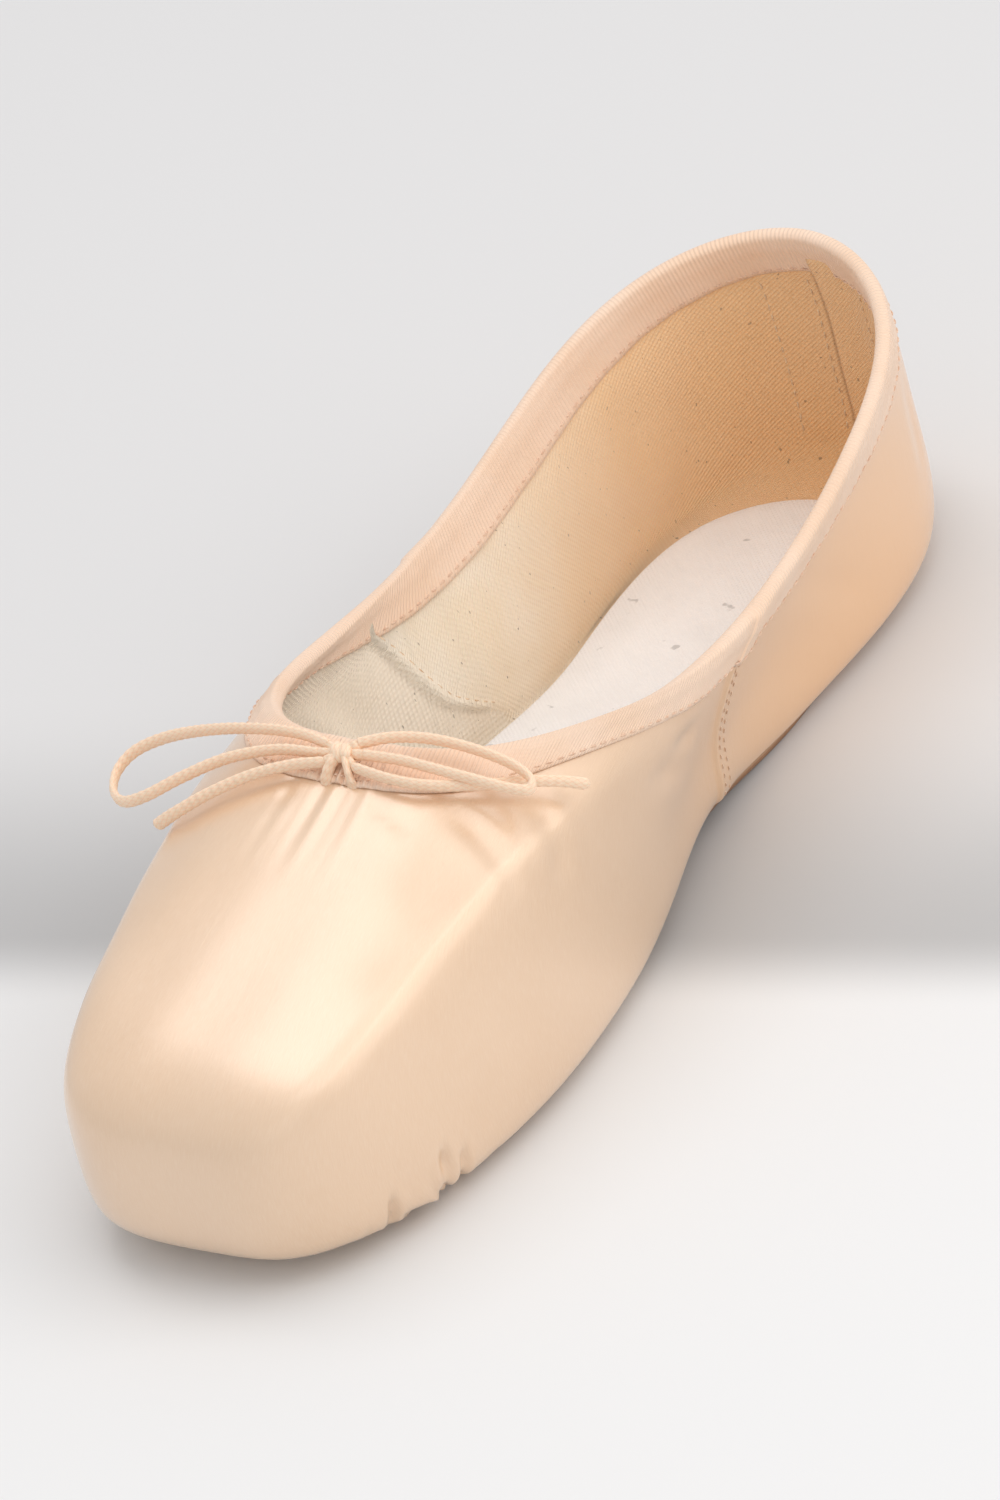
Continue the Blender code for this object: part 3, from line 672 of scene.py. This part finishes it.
def cloth_run(points):
    """Place of each point on the cloth: metres along the sections at mid height, and metres up each one."""
    middle = points[:, points.shape[1] // 2]
    around = run_of(np.concatenate([middle, middle[:1]]))
    up = run_of(points, 1)
    up = np.concatenate([up, up[:, -1:]], axis=1)
    up = np.concatenate([up, up[:1]])
    return np.stack(np.broadcast_arrays(around[:, None], up), -1)


def columns(*places):
    """Places round the shoe in order, each once."""
    return np.unique(np.round(np.concatenate(places), 4))[:, None]


seam_columns = np.array([SIDE_SEAM + k * SEAM_HALF_WIDTH / SECTION_LENGTH / 2 for k in range(-3, 4)])
satin_u = columns(round_shoe(COLUMNS), seam_columns, SECTIONS - seam_columns, *CREASED_COLUMNS)
outer_face = skin(satin_u, np.linspace(0.0, COLLAR, 126))
hidden_face = skin(satin_u, np.linspace(COLLAR, 0.0, 22), -SATIN_THICKNESS)
satin_points = np.concatenate([outer_face, hidden_face], axis=1)


def satin_cloth(name):
    """Warm peach satin: fine floats of thread that run one way with a painted highlight, a soft sheen and
    slight unevenness.

    It is darker and greyer low on the toe's end, and warmer toward the heel with painted warm bounce light.
    """
    satin = Finish(name, metallic=0.25, specular_ior_level=0.8, coat_weight=1.0, coat_roughness=0.25,
                   coat_ior=1.85, sheen_weight=0.12, sheen_roughness=0.3, sheen_tint=(1.0, 0.93, 0.85, 1.0))
    across, up = satin.threads()
    floats = satin.node("ShaderNodeCombineXYZ", {0: across * 5200.0, 1: up * 420.0, 2: 0.0})
    thread = satin.noise(1.0, 3.0, 0.6, place=floats)
    slub = satin.node("ShaderNodeCombineXYZ", {0: across * 900.0, 1: up * 60.0, 2: 0.5})
    slub = satin.noise(1.0, place=slub)
    cloud = satin.noise(28.0, 3.0)
    tone = satin.mix(cloud.ramp(0.3, 0.7), (0.775, 0.525, 0.33), (0.815, 0.57, 0.375))
    # Painted highlight: the thread floats are mixed toward a paler tone.
    tone = satin.mix(thread.ramp(0.35, 0.75) * 0.2, tone, (0.92, 0.74, 0.57))
    along = satin.axis("Y")
    # Darker, greyer tone low on the toe's end.
    low_toe_grey = along.ramp(-0.090, -0.108) * (satin.axis("Z") + cloud * 0.006).ramp(0.0125, 0.0045)
    tone = satin.mix(low_toe_grey * 0.4, tone, (0.52, 0.40, 0.25))
    # Painted warm bounce light and shade: the satin turns more orange toward the heel.
    tone = satin.mix(along.ramp(-0.03, 0.07) * 0.8, tone, (0.90, 0.53, 0.27))
    rough = thread * 0.14 + cloud * 0.06 + 0.29
    return satin.surface(tone, rough, thread * 0.6 + slub * 0.7, 0.00007)


satin_material = satin_cloth("shoe_satin")
upper = grid("satin_upper", satin_points, cloth_run(satin_points), True, [satin_material])


# Linings
# Beige drill lines the quarters and heel, and ends in a turned edge over the pale canvas of the vamp.
# At the heel a seam runs down the back, with a stay sewn beside it.
DRILL_EDGE = [(10.0, 18.9), (8.4, 18.65), (5.75, 18.05), (4.15, 17.55), (0.0, 17.4)]
DRILL_THICKNESS = 0.0005
DRILL_SHARE = 0.6
STAY_SHARE = 0.4
RIM_THINNED = 0.00045
BACK_SEAM_DEPTH = 0.0008
EDGE_RIDGE = 0.0010
EDGE_RIDGE_WIDTH = 0.09
RUMPLE_DEPTH = 0.00022
LINING_FOLDS = [
    (-33.0, -15.0, 39.0, -31.0, -1.0, 10.0, 2.6, 5.2),
    (-29.0, -33.0, 40.0, -33.0, -15.0, 16.0, 1.8, 4.8),
]


def drill_share(u, v):
    """1 where the drill lies and 0 forward of its edge, the same on both sides."""
    side = SECTIONS - np.abs(from_toe(u))
    edge_v, edge_u = np.array(DRILL_EDGE[::-1]).T
    edge = np.interp(v, edge_v, edge_u)
    return 1.0 - smooth(edge - 0.03, edge + 0.03, side)


def inner_depth(u, v):
    """Depth of the drill's face behind the bare last: the wall, thinned where the casing is sewn on."""
    return wall(u, v) + DRILL_THICKNESS * DRILL_SHARE - RIM_THINNED * smooth(7.0, 8.4, v)


def lining_face(u, v):
    """Inner face: the wall's thickness in from the satin, with the drill's edge and seam raised inward."""
    u, v = np.broadcast_arrays(np.asarray(u, float), np.asarray(v, float))
    shown = smooth(4.4, 5.0, v) * (1.0 - smooth(8.9, 9.6, v))
    back = np.abs(u - HEEL_CENTRE)
    lapped = smooth(0.0, 0.03, HEEL_CENTRE - u) * (1.0 - smooth(0.12, 0.45, HEEL_CENTRE - u))
    stay = (1.0 - smooth(0.56, 0.60, back)) * STAY_SHARE
    drill = drill_share(u, v)
    edge = drill * (2.0 - drill_share(u + EDGE_RIDGE_WIDTH, v) - drill_share(u - EDGE_RIDGE_WIDTH, v))
    points = bare_skin(u, v)
    rumple = np.sin(points @ (150.0, 260.0, 90.0)) * np.sin(points @ (90.0, -140.0, 210.0) + 0.7)
    raised = DRILL_THICKNESS * stay + BACK_SEAM_DEPTH * lapped + EDGE_RIDGE * edge + RUMPLE_DEPTH * rumple
    inward = raised * shown - DRILL_THICKNESS * DRILL_SHARE * (1.0 - drill)
    for row in LINING_FOLDS:
        inward = inward - fold(points, row) * shown
    return inset(u, v, inner_depth(u, v) + inward)


LINING_COLUMNS = 416
LINING_LOWEST = 0.15
lining_u = columns(round_shoe(LINING_COLUMNS), np.linspace(HEEL_CENTRE - 0.7, HEEL_CENTRE + 0.7, 57),
                   np.linspace(7.3, 8.8, 40), np.linspace(17.2, 18.7, 40))
lining_up = np.linspace(LINING_LOWEST, COLLAR, 96)
lining_down = np.linspace(COLLAR, LINING_LOWEST, 20)
seen_lining = lining_face(lining_u, lining_up)
under_lining = skin(lining_u, lining_down, -SATIN_THICKNESS - UNDER_SATIN)
lining_points = np.concatenate([seen_lining, under_lining], axis=1)
lining_slots = drill_share(lining_u, np.concatenate([lining_up, lining_down])) < 0.5


def lining_cloth(name, light, dark, heel_shade_tone, fleck_colour, ribs, fleck_share):
    """Cotton with the weave of its threads, a few dark flecks of husk, an uneven tone, and painted shade:
    warmer toward the heel and darker along the back seam.
    """
    cotton = Finish(name, sheen_weight=0.4, sheen_roughness=0.6, sheen_tint=(1.0, 0.93, 0.83, 1.0),
                    specular_ior_level=0.2)
    across, up = cotton.threads()
    weft = (across * ribs[0] + up * ribs[1]).sine()
    warp = (across * ribs[2] + up * ribs[3]).sine()
    fuzz = cotton.noise(1500.0, 4.0, 0.7)
    cloud = cotton.noise(45.0, 3.0)
    tone = cotton.mix(cloud.ramp(0.3, 0.72), light, dark)
    heelward = cotton.axis("Y").ramp(0.01, 0.11)
    # Painted shade: a deeper orange tone toward the heel, where the inside of the shoe lies in shade.
    tone = cotton.mix(heelward * 0.85, tone, heel_shade_tone)
    raised = (weft * 0.25 + warp * 0.15 + fuzz * 0.6).ramp(0.0, 0.9)
    tone = cotton.mix(raised * 0.22, tone, (0.95, 0.87, 0.72))
    seam_shade = cotton.axis("X").math("ABSOLUTE").ramp(0.0009, 0.0002) * heelward.ramp(0.5, 0.9)
    tone = cotton.mix(seam_shade * 0.7, tone, (0.50, 0.27, 0.12))
    speck = cotton.noise(800.0, 1.0, 0.5, (1.0, 1.7, 1.0))
    tone = cotton.mix(speck.ramp(fleck_share, fleck_share + 0.03) * 0.6, tone, fleck_colour)
    return cotton.surface(tone, 0.86, weft * 0.5 + warp * 0.3 + fuzz * 0.8, 0.00012)


drill_material = lining_cloth(
    "beige_drill", light=(0.98, 0.88, 0.74), dark=(0.95, 0.79, 0.59), heel_shade_tone=(0.96, 0.57, 0.25),
    fleck_colour=(0.24, 0.16, 0.10), ribs=(7400.0, 7400.0, 5200.0, -5200.0), fleck_share=0.75)
canvas_material = lining_cloth(
    "vamp_canvas", light=(0.95, 0.84, 0.70), dark=(0.89, 0.77, 0.62), heel_shade_tone=(0.90, 0.78, 0.62),
    fleck_colour=(0.20, 0.17, 0.13), ribs=(6800.0, 0.0, 0.0, 6800.0), fleck_share=0.74)
lining = grid("lining", lining_points, cloth_run(lining_points), True, [drill_material, canvas_material],
              lining_slots.astype(int))
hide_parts("upper")


# Casing
# Ribbed cotton tape folded over the collar's edge and stitched down on both sides. The drawstring
# runs inside its fold, and draws the tape into small gathers at the throat.
TAPE_THICKNESS = 0.00045
TAPE_BULGE = 0.0002
TAPE_GATHER = 0.0005
TAPE_WAVE = 0.0006
TAPE_LOWEST = -0.0004
CORD_BELOW_FOLD = 0.0022
CORD_SPREAD = 0.0013
CROWN_SHARE = 0.8
CROWN_WAVE = 0.0002
TAPE_COLUMNS = 900


def tape_relief(u, distance):
    """Height of the tape: a bulge over the drawstring below the fold, and gathers at the throat."""
    side = from_toe(u)
    cord = np.exp(-((distance - CORD_BELOW_FOLD) / CORD_SPREAD) ** 2)
    tight = np.exp(-(side / 0.55) ** 2)
    loose = np.exp(-(side / 1.6) ** 2)
    pucker = tight * np.cos(42.0 * side) + 0.45 * loose * np.cos(19.0 * side + 0.7)
    wave = 0.12 * np.sin(6.3 * side + 0.8) + 0.1 * np.sin(14.7 * side)
    return TAPE_BULGE * cord + TAPE_GATHER * pucker + TAPE_WAVE * wave * smooth(0.0, 0.004, distance)


tape_u = round_shoe(TAPE_COLUMNS)
tape_down = np.linspace(0.0, CASING_WIDTH, 13)
tape_v = rows_below_rim(tape_u, tape_down)
tape_u = tape_u[:, None]
edge_fade = np.sqrt(np.clip(1.0 - (tape_down / CASING_WIDTH) ** 14, 0.1, 1.0))
tape_lift = np.maximum(tape_relief(tape_u, tape_down[None]), TAPE_LOWEST) * smooth(0.0, 0.001, tape_down)
tape_top = GAP + TAPE_THICKNESS * edge_fade + tape_lift
outside = skin(tape_u, tape_v, tape_top)
inside = inset(tape_u, tape_v, inner_depth(tape_u, tape_v) + tape_top)
rim_up = unit(bare_skin(tape_u, COLLAR) - bare_skin(tape_u, COLLAR - 0.05))
crown_angle = np.linspace(0.0, np.pi, 9)[1:-1]
crown_middle = (outside[:, :1] + inside[:, :1]) / 2
crown_half = (outside[:, :1] - inside[:, :1]) / 2
crown_lift = np.linalg.norm(crown_half, axis=-1, keepdims=True) * CROWN_SHARE
crown_lift = crown_lift + CROWN_WAVE * tape_relief(tape_u, CORD_BELOW_FOLD)[..., None]
crown = (crown_middle + crown_half * np.cos(crown_angle)[:, None]
         + rim_up * crown_lift * np.sin(crown_angle)[:, None])
thin = GAP * 0.6
under_rows = tape_down[::4]
under_v = rows_below_rim(tape_u[:, 0], under_rows)
under_inside = inset(tape_u, under_v, inner_depth(tape_u, under_v) + thin)
under_outside = skin(tape_u, under_v, thin)
tape_points = np.concatenate([outside[:, ::-1], crown, inside, under_inside[:, ::-1], under_outside], axis=1)


def tape_cloth():
    """Pinker ribbed tape: ribs across its width, close together, with fuzz between them."""
    tape = Finish("ribbed_cotton_tape", sheen_weight=0.45, sheen_roughness=0.5,
                  sheen_tint=(1.0, 0.9, 0.82, 1.0), specular_ior_level=0.25)
    along, across = tape.threads()
    rib = (along * (2 * math.pi / 0.00075) + tape.noise(400.0, 2.0) * 1.2).sine()
    fuzz = tape.noise(1900.0, 4.0, 0.65)
    cloud = tape.noise(60.0, 3.0)
    tone = tape.mix(cloud.ramp(0.3, 0.7), (0.93, 0.65, 0.46), (0.96, 0.71, 0.54))
    tone = tape.mix((rib * 0.5 + 0.5) * 0.20 + fuzz * 0.12, tone, (0.93, 0.74, 0.60))
    return tape.surface(tone, 0.62, rib * 0.55 + fuzz * 0.6, 0.00012)


casing = grid("casing_tape", tape_points, cloth_run(tape_points), True, [tape_cloth()])
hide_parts("collar_casing")


# Heel strip
# A strip of the same satin covers the seam at the back, from the sole to the casing. Its edges are
# turned under and sewn down.
STRIP_WIDTH = 0.013
STRIP_THICKNESS = 0.0008
STRIP_COLUMNS = 44
HEM_DEPTH = 0.00018
HEM_LINE = 0.86
STRIP_RIPPLE = 0.0001
strip_v = np.linspace(2.5, row_below_rim(HEEL_CENTRE, CASING_WIDTH + GAP), 120)
step = 0.05
per_section = np.linalg.norm(bare_skin(HEEL_CENTRE + step, strip_v) - bare_skin(HEEL_CENTRE - step, strip_v),
                             axis=-1) / (2 * step)
strip_share = np.linspace(-1.0, 1.0, STRIP_COLUMNS)
strip_u = HEEL_CENTRE + strip_share[None] * (STRIP_WIDTH / 2 / per_section)[:, None]
from_middle = np.abs(strip_share)
turned = np.clip(1.0 - from_middle ** 16, 0.0, 1.0) ** 0.5
hem = HEM_DEPTH * (np.exp(-((from_middle - HEM_LINE) / 0.06) ** 2)
                   - np.exp(-((from_middle - 0.72) / 0.03) ** 2))
ripple = STRIP_RIPPLE * np.sin(strip_v * 9.0)[:, None] * from_middle[None]
strip_out = GAP + STRIP_THICKNESS * (0.35 + 0.65 * turned)[None] + hem[None] + ripple
strip_top = skin(strip_u, strip_v[:, None], strip_out)
strip_under = skin(strip_u[:, ::4], strip_v[:, None], GAP * 0.7)[:, ::-1]
strip_points = np.concatenate([strip_top, strip_under], axis=1)
strip_up = run_of(strip_points[:, STRIP_COLUMNS // 2])[:, None]
strip_across = np.concatenate([strip_share, strip_share[::4][::-1], [-1.0]]) * STRIP_WIDTH / 2
strip_threads = np.stack(np.broadcast_arrays(strip_across[None], strip_up), -1)
strip = grid("heel_strip_satin", strip_points, strip_threads, False, [satin_cloth("strip_satin")])
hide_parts("heel_strip")


# Outsole
# Brown leather, cut to the line where the satin turns in, with a burnished edge and a flesh side that
# has scuffed at the ball and the heel. A nail hole shows near the heel.
SOLE_EDGE = 0.4
SOLE_EDGE_BEVEL = 0.0006
NAIL_HOLE = (0.0, 0.066, 0.0)
PLATE_RINGS = 36
WEAR_DEPTH = 0.00012


def spline_ring(points, count):
    """Closed cubic B-spline through the sections' points."""
    u = round_shoe(count)
    i = np.floor(u).astype(int)
    weights = spline_weights(u - i)
    return sum(weights[:, a, None] * points[(i + a - 1) % SECTIONS] for a in range(4))


def plate(name, edge, bottom, thickness, bevel, material, relief_low, relief_high):
    """Thin plate that follows the sole's rise: rings about its middle below and above, and a round edge.

    The faces are lifted by a relief of x and y, below and above.
    """
    around = np.roll(edge, -1, axis=0) - np.roll(edge, 1, axis=0)
    inward = unit(np.stack([-around[:, 1], around[:, 0]], -1))
    middle = (edge.min(axis=0) + edge.max(axis=0)) / 2
    inward = inward * np.sign(np.sum((middle - edge) * inward))
    share = np.linspace(0.01, 1.0, PLATE_RINGS)[:-1, None, None]
    face = middle + share * (edge + inward * bevel - middle)
    rounding = np.linspace(-0.5 * np.pi, 0.5 * np.pi, 9)[:, None]
    side = edge + inward * (bevel * (1.0 - np.cos(rounding)))[..., None]
    side_up = np.broadcast_to((np.sin(rounding) + 1.0) / 2.0 * thickness, side.shape[:2])
    level = 1.0 - share[..., 0] ** 8
    low_up = relief_low(face[..., 0], face[..., 1]) * level
    top_up = thickness + (relief_high(face[..., 0], face[..., 1]) * level)[::-1]
    flat = np.concatenate([face, side, face[::-1]])
    up = bottom + sole_rise(flat[..., 1]) + np.concatenate([low_up, side_up, top_up])
    points = np.concatenate([flat, up[..., None]], axis=-1)
    threads = np.concatenate([points[..., :2], points[:, :1, :2]], axis=1)
    return grid(name, points, threads, False, [material])


def worn(x, y):
    """Wear of the sole's lower face: shallow hollows, close together."""
    return WEAR_DEPTH * (1.0 + np.sin(x * 900.0 + 40.0 * np.sin(y * 60.0)) * np.sin(y * 700.0))


def smooth_face(x, y):
    """No relief."""
    return np.zeros_like(x + y)


def leather():
    """Brown split leather: fine pores and fibres, darker at the burnished edge, paler where it is scuffed."""
    hide = Finish("brown_leather", specular_ior_level=0.35)
    place = hide.place()
    pores = hide.node("ShaderNodeTexVoronoi", {"Vector": place, "Scale": 1500.0}, 0, feature="F1")
    fibre = hide.noise(900.0, 5.0, 0.7)
    cloud = hide.noise(38.0, 4.0, 0.6)
    scuff = hide.noise(160.0, 4.0, 0.6, (1.0, 0.25, 1.0))
    tone = hide.mix(cloud.ramp(0.3, 0.7), (0.33, 0.175, 0.095), (0.25, 0.125, 0.065))
    tone = hide.mix(fibre.ramp(0.45, 0.8) * 0.4, tone, (0.46, 0.28, 0.17))
    tone = hide.mix(scuff.ramp(0.60, 0.75) * 0.35, tone, (0.52, 0.36, 0.24))
    along = hide.axis("Y")
    arch = along.ramp(-0.12 * LENGTH, 0.05 * LENGTH) - along.ramp(0.05 * LENGTH, 0.20 * LENGTH)
    spring = along.ramp(-0.30 * LENGTH, -0.385 * LENGTH)
    edge_band = (hide.axis("Z") - arch * ARCH_RISE - spring * TOE_SPRING).ramp(0.0007, 0.0014)
    tone = hide.mix(edge_band * 0.55, tone, (0.60, 0.40, 0.25))
    from_nail = hide.node("ShaderNodeVectorMath", {0: place, 1: NAIL_HOLE}, 1, operation="DISTANCE")
    hole = from_nail.ramp(0.0009, 0.0007)
    # Painted shade: the inside of the nail hole is drawn near black.
    tone = hide.mix(hole, tone, (0.04, 0.02, 0.012))
    return hide.surface(tone, 0.48 + fibre * 0.25, pores * 0.5 + fibre * 0.6 - hole * 4.0, 0.00015)


sole_edge = spline_ring(((1.0 - SOLE_EDGE) * NET[:, 2] + SOLE_EDGE * NET[:, 3])[:, :2], 8 * SECTIONS)
outsole = plate("leather_outsole", sole_edge, 0.0, SOLE_THICKNESS, SOLE_EDGE_BEVEL, leather(),
                worn, smooth_face)
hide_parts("outsole")


# Insole
# A light grey board faced with fine canvas is glued to the turned-in satin. It is cut to the inside of
# the wall, and pressed a little hollow at the heel and the ball.
INSOLE_THICKNESS = 0.0014
INSOLE_CLEARANCE = 0.0015
HEEL_HOLLOW = 0.0004
BALL_HOLLOW = 0.0003
INSOLE_RUMPLE = 0.0001
insole_bottom = SOLE_THICKNESS + GAP + ROLL_DROP / 6.0 + UPPER_WALL + GAP
insole_u = round_shoe(8 * SECTIONS)[:, None]
insole_v = np.linspace(3.0, 6.0, 91)[None]
wall_inside = inset(insole_u, insole_v, wall(insole_u, insole_v) + DRILL_THICKNESS)
above = wall_inside[..., 2] - sole_rise(wall_inside[..., 1]) > insole_bottom - GAP / 2
first = np.argmax(above, axis=1)
inner_edge = wall_inside[np.arange(len(first)), first, :2]
inward = bare_normal(insole_u, insole_v)[np.arange(len(first)), first, :2]
insole_edge = inner_edge - unit(inward) * INSOLE_CLEARANCE


def trodden(x, y):
    """The insole's shallow hollows at the heel and the ball, and a soft rumple."""
    heel = np.exp(-((x / 0.017) ** 2 + ((y - 0.085) / 0.024) ** 2))
    ball = np.exp(-((x / 0.024) ** 2 + ((y + 0.035) / 0.028) ** 2))
    rumple = np.sin(x * 330.0 + y * 90.0) * np.sin(y * 240.0)
    return INSOLE_RUMPLE * rumple - HEEL_HOLLOW * heel - BALL_HOLLOW * ball


def insole_cloth():
    """Light grey fine canvas, a little glazed and marked by handling."""
    board = Finish("insole_canvas_grey", specular_ior_level=0.3)
    along, across = board.threads()
    weave = (along * 6500.0).sine() * (across * 6500.0).sine()
    fuzz = board.noise(1300.0, 4.0, 0.6)
    cloud = board.noise(42.0, 4.0, 0.6)
    mark = board.noise(300.0, 2.0)
    tone = board.mix(cloud.ramp(0.3, 0.7), (0.96, 0.93, 0.91), (0.90, 0.87, 0.85))
    tone = board.mix(mark.ramp(0.70, 0.76) * 0.5, tone, (0.35, 0.33, 0.31))
    return board.surface(tone, 0.66 + fuzz * 0.15, weave * 0.5 + fuzz * 0.7, 0.0001)


insole = plate("insole_board", insole_edge, insole_bottom, INSOLE_THICKNESS, SOLE_EDGE_BEVEL / 2,
               insole_cloth(), smooth_face, trodden)
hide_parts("insole")


# Stitching
# Machine stitches hold the casing on both sides, the lapped side seams, the heel strip, the lining's
# edge and the seam at the back: short lengths of cotton that dip into the cloth at both ends.
THREAD_DIAMETER = 0.00034
STITCH_PITCH = 0.0023
STITCH_LENGTH = 0.0018
STITCH_RINGS = 7
STITCH_SIDES = 6
CASING_STITCH_INSET = 0.0011
SEAM_ROWS_BEHIND = (0.0014, 0.0034)
SEAM_STOP = 0.0008
THREAD_CLEARANCE = 0.0001
STAY_ROWS = (-0.58, 0.58, 0.11)


def stitch_row(points, normals, pitch=STITCH_PITCH, length=STITCH_LENGTH):
    """Stitches along a line: start, end and outward direction of each, spaced by the pitch."""
    run = run_of(points)
    count = max(int(run[-1] / pitch), 1)
    starts = (np.arange(count) + 0.5) * run[-1] / count - length / 2
    ends = starts + length
    return at_run(starts, run, points), at_run(ends, run, points), at_run((starts + ends) / 2, run, normals)


def thread(name, rows, material):
    """One mesh of stitches: each a bent sausage whose middle stands up and whose ends sink in."""
    starts, ends, out = (np.concatenate([row[k] for row in rows]) for k in range(3))
    out = unit(out)
    along = ends - starts
    side = unit(np.cross(along, out))
    share = np.linspace(0.0, 1.0, STITCH_RINGS)
    angle = np.linspace(0.0, 2 * np.pi, STITCH_SIDES, endpoint=False)
    radius = THREAD_DIAMETER / 2 * np.sqrt(np.clip(1.0 - (2.0 * share - 1.0) ** 6, 0.05, 1.0))
    lift = THREAD_DIAMETER * (np.sin(np.pi * share) ** 0.6 - 0.75)
    middle = starts[:, None] + share[:, None] * along[:, None] + lift[:, None] * out[:, None]
    ring = radius[:, None, None] * (np.cos(angle)[:, None] * side[:, None, None]
                                    + np.sin(angle)[:, None] * out[:, None, None])
    points = (middle[:, :, None] + ring).reshape(-1, 3)
    first = np.arange(STITCH_SIDES)
    caps = np.array([first, first[::-1] + (STITCH_RINGS - 1) * STITCH_SIDES])
    offset = np.arange(len(starts))[:, None, None] * STITCH_RINGS * STITCH_SIDES
    quads = (ring_faces(STITCH_RINGS, STITCH_SIDES, False) + offset).reshape(-1, 4)
    caps = (caps + offset).reshape(-1, STITCH_SIDES)
    mesh = bpy.data.meshes.new(name)
    mesh.from_pydata(points.tolist(), [], quads.tolist() + caps.tolist())
    mesh.materials.append(material)
    return placed(name, mesh)


def cotton_thread(name, colour, shade):
    """Matt cotton thread with the twist of its plies, and painted shade where the plies dip."""
    cotton = Finish(name, sheen_weight=0.3, specular_ior_level=0.25)
    plies = cotton.noise(2400.0, 2.0)
    return cotton.surface(cotton.mix(plies.ramp(0.35, 0.7), shade, colour), 0.7, plies, 0.00006)


def on_tape(distance, inner):
    """Line of points on the casing at a distance below the fold, and the directions out of it."""
    u = np.linspace(0.0, SECTIONS, 701)
    v = rows_below_rim(u, [distance])
    u = u[:, None]
    top = GAP + TAPE_THICKNESS + np.maximum(tape_relief(u, distance), TAPE_LOWEST)
    normal = bare_normal(u, v)
    if inner:
        return inset(u, v, inner_depth(u, v) + top)[:, 0], -normal[:, 0]
    return skin(u, v, top)[:, 0], normal[:, 0]


def on_satin(u, v, out=0.0):
    """Line of points on the satin and the directions out of it."""
    return skin(u, v, out), bare_normal(u, v)


def on_lining(u, v):
    """Line of points on the lining and the directions out of it, into the shoe."""
    return lining_face(u, v), -bare_normal(u, v)


casing_rows = [stitch_row(*on_tape(CASING_WIDTH - CASING_STITCH_INSET, inner)) for inner in (False, True)]
casing_thread = thread("casing_stitches", casing_rows,
                       cotton_thread("peach_thread", (0.88, 0.66, 0.50), (0.72, 0.46, 0.32)))

seam_rows = []
seam_v = np.linspace(3.2, row_below_rim(SIDE_SEAM, CASING_WIDTH + SEAM_STOP), 90)
for side in (1.0, -1.0):
    for behind in SEAM_ROWS_BEHIND:
        seam_u = np.full_like(seam_v, side * (SIDE_SEAM + behind / SECTION_LENGTH)) % SECTIONS
        seam_rows.append(stitch_row(*on_satin(seam_u, seam_v), pitch=0.0019, length=0.0014))
strip_line_u = HEEL_CENTRE + np.outer([-HEM_LINE, HEM_LINE], STRIP_WIDTH / 2 / per_section)
for line_u in strip_line_u:
    line = on_satin(line_u, strip_v, GAP + STRIP_THICKNESS + THREAD_CLEARANCE)
    seam_rows.append(stitch_row(*line, pitch=0.0021, length=0.0015))
satin_thread = thread("satin_stitches", seam_rows,
                      cotton_thread("satin_thread", (0.80, 0.58, 0.42), (0.62, 0.40, 0.27)))

lining_rows = []
edge_v, edge_u = np.array(DRILL_EDGE[::-1]).T
sewn_v = np.linspace(4.6, 8.2, 60)
for side in (1.0, -1.0):
    sewn_u = (SECTIONS - side * (SECTIONS - np.interp(sewn_v, edge_v, edge_u) + 0.10)) % SECTIONS
    lining_rows.append(stitch_row(*on_lining(sewn_u, sewn_v)))
back_v = np.linspace(4.8, 7.9, 60)
for back_line in STAY_ROWS:
    lining_rows.append(stitch_row(*on_lining(np.full_like(back_v, HEEL_CENTRE + back_line), back_v)))
lining_thread = thread("lining_stitches", lining_rows,
                       cotton_thread("beige_thread", (0.93, 0.74, 0.52), (0.70, 0.48, 0.30)))
